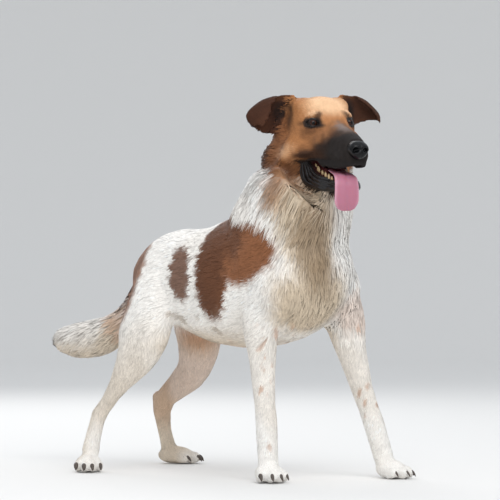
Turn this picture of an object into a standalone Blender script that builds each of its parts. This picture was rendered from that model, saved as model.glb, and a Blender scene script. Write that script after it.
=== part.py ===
"""A standing dog at life size, as a still museum model: solids of the whole coat's outer shape, in metres."""

import math

import bmesh
import bpy
import numpy as np
from mathutils import Matrix, Vector

# Where the dog stands: ahead (the way it faces), left and up, in metres from under its loin.
# The model faces -Y, its left side is +X.

GAP = 0.0003  # between pieces that meet
CM = 0.01

# The head, in centimetres from the middle of the two eyes: ahead, left, up.
EYE_SPACING = 7.6
EYE_MIDDLE = -0.15
EYE_RADIUS = 1.12
HEAD_AT = (0.487, -0.008, 0.684)
HEAD_TURN = -22.0
HEAD_TILT = 2.5
HEAD_SIZE = 1.0

# Each paw: where the ankle comes down, the way the toes point (degrees, + to the left), and its width.
PAWS = {
    "fore_right": ((0.374, -0.069), -26.0, 0.064, 0.070),
    "fore_left": ((0.474, 0.160), 6.0, 0.062, 0.074),
    "hind_right": ((-0.073, -0.124), -42.0, 0.058, 0.074),
    "hind_left": ((-0.114, 0.136), 32.0, 0.054, 0.086),
}

WHITE = "#e9e2d6"
CREAM = "#cdb79a"
TAN = "#b8743f"
DARK_BROWN = "#3c2418"
BLACK = "#1c1917"
PINK = "#c9879b"
HORN = "#3a322d"
EYE_BROWN = "#2a160c"


def at(ahead, left, up):
    """A place on the dog, as a point of the scene."""
    return Vector((left, -ahead, up))


def linear(hex_colour):
    """A screen colour as the linear values that a material takes."""
    values = [int(hex_colour[i : i + 2], 16) / 255 for i in (1, 3, 5)]
    return [v / 12.92 if v <= 0.04045 else ((v + 0.055) / 1.055) ** 2.4 for v in values] + [1.0]


def material(name, hex_colour, roughness):
    made = bpy.data.materials.new(name)
    made.use_nodes = True
    shader = made.node_tree.nodes["Principled BSDF"]
    shader.inputs["Base Color"].default_value = linear(hex_colour)
    shader.inputs["Roughness"].default_value = roughness
    shader.inputs["Metallic"].default_value = 0.0
    made.diffuse_color = linear(hex_colour)
    return made


class Shell:
    """Points and faces of closed shells that may overlap, gathered before they are joined into one."""

    def __init__(self):
        self.points = []
        self.faces = []

    def add(self, points, faces):
        start = len(self.points)
        self.points += [Vector(p) for p in points]
        self.faces += [[start + i for i in face] for face in faces]

    def rings(self, rings):
        """A closed solid through a row of rings with equal counts."""
        count = len(rings[0])
        points = [p for ring in rings for p in ring]
        faces = []
        for r in range(len(rings) - 1):
            for i in range(count):
                j = (i + 1) % count
                a = r * count
                b = a + count
                faces.append([a + i, a + j, b + j, b + i])
        faces.append(list(range(count))[::-1])
        faces.append([(len(rings) - 1) * count + i for i in range(count)])
        self.add(points, faces)

    def ball(self, centre, radii, axes=None, sides=24):
        """An ellipsoid. axes are its three directions, as columns."""
        axes = axes or Matrix.Identity(3)
        rings = []
        for r in range(1, sides // 2):
            height = math.pi * r / (sides // 2)
            ring = []
            for i in range(sides):
                turn = 2 * math.pi * i / sides
                local = Vector(
                    (
                        radii[0] * math.sin(height) * math.cos(turn),
                        radii[1] * math.sin(height) * math.sin(turn),
                        -radii[2] * math.cos(height),
                    )
                )
                ring.append(Vector(centre) + axes @ local)
            rings.append(ring)
        self.rings(rings)

    def mesh(self, name):
        made = bpy.data.meshes.new(name)
        made.from_pydata([tuple(p) for p in self.points], [], self.faces)
        made.validate()
        work = bmesh.new()
        work.from_mesh(made)
        bmesh.ops.recalc_face_normals(work, faces=work.faces)
        work.to_mesh(made)
        work.free()
        return made


def smooth_rows(rows, steps):
    """Rows of numbers with steps-1 more between each two, along a curve through them all."""
    rows = [list(row) for row in rows]
    ends = [rows[0]] + rows + [rows[-1]]
    made = []
    for k in range(1, len(ends) - 2):
        before, start, end, after = ends[k - 1], ends[k], ends[k + 1], ends[k + 2]
        for s in range(steps):
            t = s / steps
            made.append(
                [
                    0.5
                    * (
                        2 * b
                        + (c - a) * t
                        + (2 * a - 5 * b + 4 * c - d) * t * t
                        + (3 * b - a - 3 * c + d) * t**3
                    )
                    for a, b, c, d in zip(before, start, end, after)
                ]
            )
    made.append(rows[-1])
    return made


def superellipse(centre, side, lift, half_side, half_lift, squareness, count=28):
    ring = []
    for i in range(count):
        turn = 2 * math.pi * i / count
        c = math.cos(turn)
        s = math.sin(turn)
        x = math.copysign(abs(c) ** (2 / squareness), c)
        y = math.copysign(abs(s) ** (2 / squareness), s)
        ring.append(centre + side * (half_side * x) + lift * (half_lift * y))
    return ring


def limb(shell, rows, side=Vector((1, 0, 0)), squareness=2.0, steps=4):
    """A limb along rows of (ahead, left, up, half thickness fore-aft, half width), its rings square to it."""
    rows = smooth_rows(rows, steps)
    places = [at(*row[:3]) for row in rows]
    rings = []
    for k, row in enumerate(rows):
        along = (places[min(k + 1, len(rows) - 1)] - places[max(k - 1, 0)]).normalized()
        across = (side - along * side.dot(along)).normalized()
        lift = along.cross(across)
        rings.append(superellipse(places[k], across, lift, row[4], row[3], squareness))
    shell.rings(rings)


def turned(yaw, tilt=0.0):
    """The ahead, left and up directions of a part turned by yaw (to the left) and tilted (left side up)."""
    yaw = math.radians(yaw)
    tilt = math.radians(tilt)
    ahead = at(math.cos(yaw), math.sin(yaw), 0)
    left = at(-math.sin(yaw), math.cos(yaw), 0)
    up = Vector((0, 0, 1))
    return ahead, left * math.cos(tilt) + up * math.sin(tilt), up * math.cos(tilt) - left * math.sin(tilt)


HEAD_AXES = turned(HEAD_TURN, HEAD_TILT)


def on_head(ahead, left, up):
    """A place on the head, from centimetres between the eyes."""
    x, y, z = HEAD_AXES
    return at(*HEAD_AT) + (x * ahead + y * left + z * up) * (CM * HEAD_SIZE)


def head_loft(shell, rows, squareness=2.2, steps=3):
    """A solid through upright rings of (ahead, top, bottom, half width) in the head's centimetres."""
    x, y, z = HEAD_AXES
    rings = []
    for row in smooth_rows(rows, steps):
        ahead, top, bottom, half = row[:4]
        centre = on_head(ahead, 0.0, (top + bottom) / 2)
        ring = superellipse(
            centre, y, z, half * CM * HEAD_SIZE, (top - bottom) / 2 * CM * HEAD_SIZE, squareness
        )
        rings.append(ring)
    shell.rings(rings)


def head_ball(shell, centre, radii):
    x, y, z = HEAD_AXES
    axes = Matrix((x, y, z)).transposed()
    shell.ball(on_head(*centre), [r * CM * HEAD_SIZE for r in radii], axes)


# ---------------------------------------------------------------- the masses of the body


def add_trunk(shell):
    """Chest, belly and croup: rings across the body at (ahead, top, bottom, half width)."""
    rows = [
        (-0.040, 0.415, 0.375, 0.018),
        (-0.034, 0.430, 0.352, 0.038),
        (-0.018, 0.445, 0.332, 0.056),
        (0.008, 0.464, 0.316, 0.073),
        (0.042, 0.484, 0.302, 0.084),
        (0.085, 0.494, 0.290, 0.084),
        (0.125, 0.493, 0.276, 0.085),
        (0.170, 0.496, 0.262, 0.091),
        (0.215, 0.508, 0.255, 0.097),
        (0.260, 0.520, 0.252, 0.101),
        (0.310, 0.530, 0.254, 0.102),
        (0.360, 0.530, 0.262, 0.102),
        (0.405, 0.520, 0.276, 0.101),
        (0.440, 0.505, 0.294, 0.096),
        (0.470, 0.480, 0.320, 0.080),
        (0.490, 0.455, 0.346, 0.056),
        (0.502, 0.425, 0.375, 0.028),
    ]
    rings = []
    for ahead, top, bottom, half in smooth_rows(rows, 3):
        centre = at(ahead, 0, (top + bottom) / 2)
        ring = superellipse(
            centre, Vector((1, 0, 0)), Vector((0, 0, 1)), half, (top - bottom) / 2, 2.2
        )
        rings.append(ring)
    shell.rings(rings)


def add_neck(shell):
    """The neck with its ruff, from the withers and forechest up to behind the head."""
    rows = [
        (0.335, 0.000, 0.420, 0.112, 0.098),
        (0.362, 0.000, 0.470, 0.126, 0.099),
        (0.392, 0.003, 0.518, 0.121, 0.097),
        (0.414, 0.005, 0.552, 0.103, 0.091),
        (0.430, 0.007, 0.590, 0.080, 0.081),
        (0.432, 0.010, 0.622, 0.072, 0.074),
        (0.431, 0.012, 0.655, 0.064, 0.065),
        (0.426, 0.013, 0.684, 0.045, 0.047),
    ]
    limb(shell, rows, squareness=2.2)


def add_shoulder(shell, side, reach):
    """Shoulder blade and upper arm. reach moves the point of the shoulder ahead."""
    lean = Matrix.Rotation(math.radians(28), 3, "X")
    shell.ball(at(0.345 + reach, side * 0.064, 0.425), (0.042, 0.062, 0.095), lean)
    shell.ball(at(0.400 + reach, side * 0.070, 0.370), (0.044, 0.066, 0.070))


def add_legs(shell):
    fore_right = [
        (0.375, -0.062, 0.400, 0.062, 0.036),
        (0.374, -0.068, 0.340, 0.054, 0.037),
        (0.366, -0.072, 0.300, 0.044, 0.034),
        (0.364, -0.072, 0.270, 0.036, 0.030),
        (0.366, -0.071, 0.235, 0.029, 0.026),
        (0.368, -0.070, 0.190, 0.025, 0.023),
        (0.370, -0.068, 0.145, 0.022, 0.021),
        (0.373, -0.067, 0.112, 0.023, 0.022),
        (0.374, -0.067, 0.090, 0.022, 0.022),
        (0.375, -0.066, 0.060, 0.021, 0.022),
        (0.378, -0.067, 0.030, 0.018, 0.022),
    ]
    limb(shell, fore_right)
    fore_left = [
        (0.410, 0.066, 0.400, 0.062, 0.038),
        (0.425, 0.078, 0.345, 0.054, 0.040),
        (0.435, 0.090, 0.305, 0.046, 0.036),
        (0.441, 0.094, 0.270, 0.037, 0.032),
        (0.446, 0.104, 0.230, 0.029, 0.027),
        (0.451, 0.117, 0.185, 0.024, 0.023),
        (0.457, 0.132, 0.140, 0.021, 0.021),
        (0.462, 0.143, 0.110, 0.022, 0.022),
        (0.465, 0.149, 0.088, 0.021, 0.022),
        (0.470, 0.156, 0.058, 0.021, 0.022),
        (0.476, 0.161, 0.032, 0.018, 0.022),
    ]
    limb(shell, fore_left)
    hind_right = [
        (0.060, -0.046, 0.430, 0.046, 0.034),
        (0.058, -0.062, 0.380, 0.052, 0.038),
        (0.056, -0.076, 0.320, 0.062, 0.040),
        (0.048, -0.086, 0.275, 0.066, 0.036),
        (0.036, -0.092, 0.240, 0.054, 0.030),
        (0.014, -0.097, 0.205, 0.036, 0.024),
        (-0.012, -0.101, 0.172, 0.023, 0.018),
        (-0.036, -0.104, 0.142, 0.017, 0.016),
        (-0.053, -0.106, 0.122, 0.017, 0.016),
        (-0.062, -0.110, 0.102, 0.017, 0.016),
        (-0.068, -0.116, 0.068, 0.017, 0.018),
        (-0.072, -0.121, 0.036, 0.018, 0.021),
    ]
    limb(shell, hind_right)
    shell.ball(at(-0.066, -0.108, 0.114), (0.013, 0.014, 0.017))
    hind_left = [
        (0.050, 0.046, 0.430, 0.046, 0.034),
        (0.046, 0.062, 0.380, 0.052, 0.038),
        (0.036, 0.077, 0.320, 0.060, 0.040),
        (0.028, 0.089, 0.272, 0.062, 0.036),
        (0.014, 0.099, 0.236, 0.053, 0.031),
        (-0.012, 0.110, 0.200, 0.041, 0.027),
        (-0.058, 0.119, 0.170, 0.031, 0.023),
        (-0.100, 0.125, 0.145, 0.025, 0.021),
        (-0.119, 0.127, 0.120, 0.024, 0.020),
        (-0.121, 0.131, 0.098, 0.019, 0.018),
        (-0.117, 0.134, 0.066, 0.016, 0.016),
        (-0.110, 0.137, 0.036, 0.016, 0.018),
    ]
    limb(shell, hind_left)
    shell.ball(at(-0.131, 0.126, 0.139), (0.013, 0.017, 0.018))


def add_tail(shell):
    """The tail: down along the rump, then out behind in a plume."""
    rows = [
        (0.020, 0.000, 0.440, 0.026, 0.030),
        (-0.012, 0.000, 0.420, 0.026, 0.027),
        (-0.040, -0.002, 0.384, 0.024, 0.024),
        (-0.060, -0.004, 0.346, 0.025, 0.025),
        (-0.088, -0.007, 0.308, 0.031, 0.030),
        (-0.132, -0.010, 0.280, 0.040, 0.036),
        (-0.180, -0.012, 0.268, 0.043, 0.038),
        (-0.230, -0.014, 0.263, 0.040, 0.035),
        (-0.275, -0.015, 0.264, 0.031, 0.027),
        (-0.302, -0.016, 0.268, 0.016, 0.014),
    ]
    limb(shell, rows)


TOES = [(-0.36, 0.58, 11), (-0.125, 0.88, 4), (0.125, 0.88, -4), (0.36, 0.58, -11)]
TOE_LENGTH = 0.022


def toe_places(leg):
    """The middle of each toe and the way it points."""
    spot, yaw, width, length = PAWS[leg]
    ahead, left, up = turned(yaw)
    heel = at(spot[0], spot[1], 0)
    places = []
    for across, out, splay in TOES:
        centre = heel + left * (across * width) + ahead * ((length - TOE_LENGTH) * out) + up * 0.0125
        places.append((centre, turned(yaw - splay)[0]))
    return places


def add_paw(shell, leg):
    """Four toes and the pad behind them, the sole just under the floor so that it can be cut flat."""
    spot, yaw, width, length = PAWS[leg]
    ahead, left, up = turned(yaw)
    heel = at(spot[0], spot[1], 0)
    reach = length - TOE_LENGTH
    shell.ball(
        heel + ahead * (reach * 0.30) + up * 0.018,
        (width * 0.42, reach * 0.62, 0.020),
        Matrix((left, -ahead, up)).transposed(),
    )
    for centre, toe_ahead in toe_places(leg):
        axes = Matrix((up.cross(toe_ahead), -toe_ahead, up)).transposed()
        shell.ball(centre, (width * 0.150, 0.0200, 0.0140), axes)
        knuckle = centre - toe_ahead * 0.013 + up * 0.006
        shell.ball(knuckle, (width * 0.140, 0.0160, 0.0120), axes)


def add_head(shell):
    """Skull, cheeks and muzzle without the lower jaw."""
    head_loft(
        shell,
        [
            (-13.2, 0.0, -3.0, 1.5),
            (-12.4, 2.2, -5.0, 3.4),
            (-11.0, 4.1, -6.5, 4.9),
            (-9.0, 5.3, -7.6, 5.9),
            (-6.5, 5.7, -8.4, 6.2),
            (-4.0, 5.6, -8.4, 6.1),
            (-2.0, 5.0, -8.0, 5.8),
            (-0.5, 3.9, -7.6, 5.3),
            (1.0, 2.1, -7.6, 4.5),
            (2.4, 0.5, -8.3, 3.7),
            (4.0, -0.7, -8.9, 3.25),
            (6.0, -1.5, -9.3, 3.0),
            (8.0, -2.3, -9.4, 2.8),
            (9.6, -3.1, -9.2, 2.45),
            (10.9, -3.8, -8.7, 2.05),
            (11.4, -4.3, -8.1, 1.75),
        ],
        squareness=2.3,
    )
    for side in (-1, 1):
        head_ball(shell, (-5.0, side * 3.4, 3.3), (3.6, 2.5, 2.2))
        head_ball(shell, (-4.6, side * 4.0, -4.6), (4.0, 2.9, 4.0))
        head_ball(shell, (-0.1, side * 2.9, 1.5), (1.5, 1.7, 0.85))
        head_ball(shell, (7.6, side * 1.5, -6.7), (3.6, 1.45, 2.1))
        head_ball(shell, (1.8, side * 3.0, -3.8), (3.0, 1.7, 2.4))


def add_ruff(shell):
    """The long hair behind the cheeks."""
    for side in (-1, 1):
        head_ball(shell, (-10.8, side * 6.4, -7.0), (3.8, 2.8, 4.8))
        head_ball(shell, (-9.6, side * 5.9, -3.0), (3.0, 2.1, 3.6))


def add_jaw(shell):
    """The lower jaw, open."""
    head_loft(
        shell,
        [
            (-6.5, -5.0, -10.4, 4.0),
            (-4.5, -6.4, -11.0, 4.1),
            (-2.4, -8.0, -11.6, 3.7),
            (-0.5, -9.3, -12.2, 3.2),
            (2.2, -10.2, -12.9, 2.7),
            (4.8, -10.9, -13.2, 2.4),
            (7.0, -11.3, -13.3, 2.1),
            (8.4, -11.5, -13.1, 1.5),
        ],
        squareness=2.3,
    )


# ---------------------------------------------------------------- working on meshes


def object_of(name, mesh):
    made = bpy.data.objects.new(name, mesh)
    bpy.context.scene.collection.objects.link(made)
    return made


def evaluated_mesh(obj):
    graph = bpy.context.evaluated_depsgraph_get()
    return bpy.data.meshes.new_from_object(obj.evaluated_get(graph))


def blended(shell, name, voxel):
    """One closed mesh around every shell."""
    obj = object_of(name, shell.mesh(name))
    remesh = obj.modifiers.new("Join", "REMESH")
    remesh.mode = "VOXEL"
    remesh.voxel_size = voxel
    remesh.adaptivity = 0.0
    joined = evaluated_mesh(obj)
    bpy.data.objects.remove(obj)
    return joined


def points_of(mesh):
    points = np.empty(len(mesh.vertices) * 3)
    mesh.vertices.foreach_get("co", points)
    return points.reshape(-1, 3)


def relax(mesh, rounds):
    """Softens the creases where masses meet."""
    points = points_of(mesh)
    edges = np.empty(len(mesh.edges) * 2, np.int64)
    mesh.edges.foreach_get("vertices", edges)
    edges = edges.reshape(-1, 2)
    count = np.bincount(edges.ravel(), minlength=len(points)).astype(float)[:, None]
    for step in range(rounds):
        total = np.zeros_like(points)
        for axis in range(3):
            total[:, axis] = np.bincount(
                edges[:, 0], points[edges[:, 1], axis], len(points)
            ) + np.bincount(edges[:, 1], points[edges[:, 0], axis], len(points))
        pull = 0.55 if step % 2 == 0 else -0.50
        points += (total / count - points) * pull
    mesh.vertices.foreach_set("co", points.ravel())
    mesh.update()


# Beside the lower jaw the cheeks and the ruff reach only so far ahead, by how far out they are.
# Both rows are in centimetres on the head.
BESIDE_JAW_OUT = (3.2, 3.5, 3.8, 4.2, 5.0, 6.0, 8.0, 10.0)
BESIDE_JAW_AHEAD = (9.0, 2.5, -1.0, -3.5, -4.8, -5.4, -6.0, -6.4)


def clear_of_jaw(mesh):
    """Draws the cheeks and the ruff back beside the lower jaw, which frees the corner of the mouth."""
    points = points_of(mesh)
    axes = np.array(HEAD_AXES)
    head = (points - np.array(on_head(0, 0, 0))) @ axes.T / CM
    ahead, left, up = head.T
    limit = np.interp(np.abs(left), BESIDE_JAW_OUT, BESIDE_JAW_AHEAD)
    # It fades out below the jaw, and higher up the further out it is, where the neck widens.
    lowest = np.interp(np.abs(left), (4, 10), (-16.5, -9.5))
    share = np.clip((-5.8 - up) / 1.4, 0, 1) * np.clip((up - lowest) / 3.5, 0, 1)
    share = share * np.clip((12.5 - np.abs(left)) / 3.5, 0, 1)
    back = np.maximum(ahead - limit, 0) * share * (ahead < 9)
    mesh.vertices.foreach_set("co", (points - (back * CM)[:, None] * axes[0]).ravel())
    mesh.update()
    relax(mesh, 14)


def thinned(mesh, name, triangles):
    obj = object_of(name, mesh)
    thin = obj.modifiers.new("Thin", "DECIMATE")
    thin.ratio = triangles / (2 * len(mesh.polygons))
    thin.use_collapse_triangulate = True
    made = evaluated_mesh(obj)
    bpy.data.objects.remove(obj)
    return made


def box_between(low, high, axes=None, origin=None):
    """A cutter box, in the scene's axes or in others from an origin."""
    shell = Shell()
    corners = []
    for z in (low[2], high[2]):
        for x, y in ((low[0], low[1]), (high[0], low[1]), (high[0], high[1]), (low[0], high[1])):
            corner = Vector((x, y, z))
            corners.append(origin + axes @ corner if axes else corner)
    shell.rings([corners[:4], corners[4:]])
    return shell.mesh("cutter")


def cut(mesh, cutter, operation, name):
    """The mesh with the cutter taken away or with only what is inside it kept."""
    body = object_of(name, mesh)
    tool = object_of(name + "_cutter", cutter)
    boolean = body.modifiers.new("Cut", "BOOLEAN")
    boolean.operation = operation
    boolean.solver = "EXACT"
    boolean.object = tool
    made = evaluated_mesh(body)
    bpy.data.objects.remove(body)
    bpy.data.objects.remove(tool)
    return made


def tilted_region(low, high, origin, pitch, grow=0.0):
    """A cutter box in axes ahead, left, up that are pitched nose down by pitch, from an origin."""
    pitch = math.radians(pitch)
    ahead = at(math.cos(pitch), 0, -math.sin(pitch))
    up = at(math.sin(pitch), 0, math.cos(pitch))
    axes = Matrix((ahead, at(0, 1, 0), up)).transposed()
    low = [v - grow for v in low]
    high = [v + grow for v in high]
    return box_between(low, high, axes, at(*origin))


def head_region(low, high, origin=(0, 0, 0), pitch=0.0, grow=0.0):
    """The same in the head's centimetres."""
    x, y, z = HEAD_AXES
    pitch = math.radians(pitch)
    ahead = x * math.cos(pitch) - z * math.sin(pitch)
    up = z * math.cos(pitch) + x * math.sin(pitch)
    low = [v * CM - grow for v in low]
    high = [v * CM + grow for v in high]
    return box_between(low, high, Matrix((ahead, y, up)).transposed(), on_head(*origin))


def beside_head(side, grow):
    """What lies outward of a slanting cut at the base of one ear."""
    shell = Shell()
    rings = []
    for up, inner in ((-3.0, 8.9), (9.0, 6.0)):
        inner = side * (inner - grow / CM)
        outer = side * 18.0
        corners = ((-14.0, inner), (-3.0, inner), (-3.0, outer), (-14.0, outer))
        rings.append([on_head(ahead, left, up) for ahead, left in corners])
    shell.rings(rings)
    return shell.mesh("beside_head")


def split(mesh, make_region, name):
    """(inside, outside) of a region, with the gap left between them."""
    inside = cut(mesh.copy(), make_region(0.0), "INTERSECT", name)
    outside = cut(mesh, make_region(GAP), "DIFFERENCE", name + "_rest")
    return inside, outside


def ear_mesh(shell, side, rows, thickness):
    """A folded ear: rows from the front of its base to the back, each from base over the crest to the tip."""
    rows = smooth_rows([sum((list(p) for p in row), []) for row in rows], 4)
    grid = []
    for row in rows:
        line = smooth_rows([row[i : i + 3] for i in range(0, len(row), 3)], 4)
        grid.append([on_head(p[0], side * p[1], p[2]) for p in line])
    high = len(grid)
    wide = len(grid[0])
    outer = []
    inner = []
    for r in range(high):
        for c in range(wide):
            down = grid[min(r + 1, high - 1)][c] - grid[max(r - 1, 0)][c]
            across = grid[r][min(c + 1, wide - 1)] - grid[r][max(c - 1, 0)]
            normal = down.cross(across).normalized()
            rim = min(r, high - 1 - r, c + 3, wide - 1 - c) / 3
            half = thickness / 2 * (0.45 + 0.55 * min(1.0, rim))
            outer.append(grid[r][c] + normal * half)
            inner.append(grid[r][c] - normal * half)
    faces = []
    total = high * wide
    for r in range(high - 1):
        for c in range(wide - 1):
            a = r * wide + c
            faces.append([a, a + 1, a + wide + 1, a + wide])
            faces.append([total + a, total + a + wide, total + a + wide + 1, total + a + 1])
    border = [c for c in range(wide)]
    border += [r * wide + wide - 1 for r in range(1, high)]
    border += [(high - 1) * wide + c for c in range(wide - 2, -1, -1)]
    border += [r * wide for r in range(high - 2, 0, -1)]
    for k, a in enumerate(border):
        b = border[(k + 1) % len(border)]
        faces.append([a, total + a, total + b, b])
    shell.add(outer + inner, faces)


RIGHT_EAR = [
    [(-5.4, 4.2, 6.0), (-6.0, 5.9, 6.4), (-6.6, 7.5, 6.1), (-6.0, 8.2, 5.8), (-5.5, 8.1, 5.2)],
    [(-6.6, 4.9, 3.4), (-7.7, 8.1, 4.7), (-8.2, 10.8, 4.9), (-6.9, 10.8, 4.6), (-5.8, 9.3, 4.0)],
    [(-8.0, 5.4, 1.2), (-9.0, 9.6, 2.2), (-9.0, 13.6, 2.4), (-7.6, 12.6, 2.4), (-6.0, 9.7, 2.1)],
    [(-8.8, 5.8, -1.4), (-9.3, 9.6, -1.4), (-9.0, 12.3, -0.2), (-7.7, 12.2, -0.1), (-6.7, 10.9, -0.3)],
]
LEFT_EAR = [
    [(-5.4, 4.2, 6.0), (-6.0, 6.1, 6.4), (-6.5, 7.8, 6.1), (-6.0, 8.4, 5.7), (-5.4, 8.4, 5.1)],
    [(-6.4, 4.9, 3.4), (-7.2, 8.2, 4.5), (-7.5, 11.0, 4.8), (-6.4, 11.2, 4.4), (-5.4, 10.6, 3.7)],
    [(-7.4, 5.4, 1.2), (-8.0, 9.8, 2.4), (-7.9, 13.8, 2.4), (-7.0, 13.9, 2.0), (-5.9, 12.8, 1.6)],
    [(-8.2, 5.9, -1.6), (-8.3, 9.6, 0.1), (-7.8, 13.6, 0.8), (-7.2, 14.3, 0.3), (-6.4, 13.6, 0.0)],
]
EAR_THICKNESS = 0.0055


def add_nose_bridge(shell):
    head_ball(shell, (10.8, 0, -5.8), (1.3, 1.75, 1.7))


JAW_JOINT = (-2.7, 0.0, -8.0)
TONGUE_ROOM = 0.08  # centimetres round the tongue


def eye_place(side):
    return (0.05, EYE_MIDDLE + side * EYE_SPACING / 2, 0.0)


def solid_eye(side, radius):
    shell = Shell()
    shell.ball(on_head(*eye_place(side)), [radius * CM] * 3, sides=12)
    return shell.mesh("eye")


def nose_shell():
    """The leather of the nose: broad above, narrowing to the lip."""
    shell = Shell()
    rings = []
    rows = [
        (11.35, -4.00, -7.7, 1.70),
        (11.70, -3.75, -7.7, 1.95),
        (12.20, -3.85, -7.5, 1.98),
        (12.65, -4.20, -7.1, 1.65),
        (12.85, -4.80, -6.4, 0.95),
    ]
    for ahead, top, bottom, half in rows:
        ring = []
        for i in range(16):
            turn = 2 * math.pi * i / 16
            height = (top + bottom) / 2 + (top - bottom) / 2 * math.sin(turn)
            taper = 1 - 0.30 * (1 - math.sin(turn)) / 2
            ring.append(on_head(ahead, half * taper * math.cos(turn), height))
        rings.append(ring)
    shell.rings(rings)
    return shell


def tongue_shell(grow=0.0):
    """The tongue: over the lower teeth, then hanging to the right of the chin. grow is in centimetres."""
    shell = Shell()
    x, y, z = HEAD_AXES
    rows = [
        (0.4, -0.2, -8.75, 1.3, 0.35),
        (2.4, -0.4, -9.25, 1.55, 0.42),
        (4.8, -0.7, -9.85, 1.75, 0.48),
        (7.0, -1.2, -10.35, 2.0, 0.50),
        (8.7, -1.7, -11.0, 2.25, 0.50),
        (9.5, -2.0, -12.2, 2.42, 0.48),
        (9.6, -2.1, -13.8, 2.5, 0.46),
        (9.5, -2.2, -15.4, 2.45, 0.42),
        (9.3, -2.2, -16.5, 1.9, 0.34),
        (9.2, -2.2, -17.0, 1.0, 0.2),
    ]
    places = [on_head(*row[:3]) for row in rows]
    rings = []
    for k, row in enumerate(rows):
        along = (places[min(k + 1, len(rows) - 1)] - places[max(k - 1, 0)]).normalized()
        across = (y - along * y.dot(along)).normalized()
        lift = along.cross(across)
        end = along * {0: -grow, len(rows) - 1: grow}.get(k, 0.0) * CM
        half_side = (row[3] + grow) * CM
        half_lift = (row[4] + grow) * CM
        ring = superellipse(places[k] + end, across, lift, half_side, half_lift, 2.4, count=12)
        rings.append(ring)
    shell.rings(rings)
    return shell


def cone(shell, base, tip, radius, sides=8):
    """A tooth or claw: a curved cone from base to tip."""
    along = (tip - base).normalized()
    side = along.orthogonal().normalized()
    lift = along.cross(side)
    rings = []
    for share, width in ((0.0, 1.0), (0.45, 0.82), (0.8, 0.5), (1.0, 0.12)):
        centre = base + (tip - base) * share
        rings.append(superellipse(centre, side, lift, radius * width, radius * width, 2.0, sides))
    shell.rings(rings)


def claw_shell(root, ahead, up, length, radius):
    """A claw: starts at root, curves forward and down."""
    shell = Shell()
    left = up.cross(ahead)
    rings = []
    for share, width, drop in ((0.0, 1.0, 0.0), (0.45, 0.85, 0.10), (1.0, 0.2, 0.5)):
        centre = root + ahead * (length * share) - up * (length * drop)
        rings.append(superellipse(centre, left, up, radius * width * 0.8, radius * width, 2.0, 6))
    shell.rings(rings)
    return shell


def whole_body():
    shell = Shell()
    add_trunk(shell)
    add_neck(shell)
    add_ruff(shell)
    add_shoulder(shell, -1, 0.0)
    add_shoulder(shell, 1, 0.020)
    add_legs(shell)
    add_tail(shell)
    return shell


def whole_head():
    shell = Shell()
    add_neck(shell)
    add_ruff(shell)
    add_head(shell)
    add_jaw(shell)
    add_nose_bridge(shell)
    ear_mesh(shell, -1, RIGHT_EAR, EAR_THICKNESS)
    ear_mesh(shell, 1, LEFT_EAR, EAR_THICKNESS)
    return shell


def whole_paw(leg):
    shell = Shell()
    add_paw(shell, leg)
    add_legs(shell)
    return shell


# ---------------------------------------------------------------- the pieces

BODY_VOXEL = 0.0040
HEAD_VOXEL = 0.0021
PAW_VOXEL = 0.0014
BODY_TRIANGLES = 2600
HEAD_TRIANGLES = 2250
PAW_TRIANGLES = 220
FORE_ANKLE = 0.046
HIND_ANKLE = 0.042

# The planes that part the body: a place on each and how far it is pitched nose down, in degrees.
UNDER_HEAD = ((0.425, 0.0, 0.5775), 25.3)
NECK_BASE = ((0.3675, 0.0, 0.490), 16.8)
BEHIND = 0.6
LEG_REGIONS = {
    "fore_right": ((0.28, -0.30, -0.10), (0.52, -0.002, 0.250)),
    "fore_left": ((0.28, 0.002, -0.10), (0.70, 0.40, 0.250)),
    "hind_right": ((-0.30, -0.30, -0.10), (0.125, -0.036, 0.283)),
    "hind_left": ((-0.30, 0.036, -0.10), (0.125, 0.40, 0.283)),
}
TAIL_REGION = ((-0.60, -0.06, 0.15), (-0.043, 0.06, 0.60))


def above(plane, grow=0.0):
    origin, pitch = plane
    return tilted_region((-BEHIND, -BEHIND, 0.0), (BEHIND, BEHIND, BEHIND), origin, pitch, grow)


def upright_box(low, high, grow=0.0):
    return tilted_region(low, high, (0, 0, 0), 0.0, grow)


def body_pieces():
    body = blended(whole_body(), "body", BODY_VOXEL)
    relax(body, 36)
    clear_of_jaw(body)
    body = thinned(body, "body", BODY_TRIANGLES)
    body = cut(body, above(UNDER_HEAD, GAP), "DIFFERENCE", "under_head")
    pieces = {}
    pieces["neck"], body = split(body, lambda grow: above(NECK_BASE, grow), "neck")
    pieces["tail"], body = split(body, lambda grow: upright_box(*TAIL_REGION, grow), "tail")
    for leg, box in LEG_REGIONS.items():
        piece, body = split(body, lambda grow: upright_box(*box, grow), leg)
        ankle = FORE_ANKLE if leg.startswith("fore") else HIND_ANKLE
        floor = upright_box((-1, -1, -1), (1, 1, ankle + GAP))
        pieces[leg] = cut(piece, floor, "DIFFERENCE", leg)
    pieces["trunk"] = body
    return pieces


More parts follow.
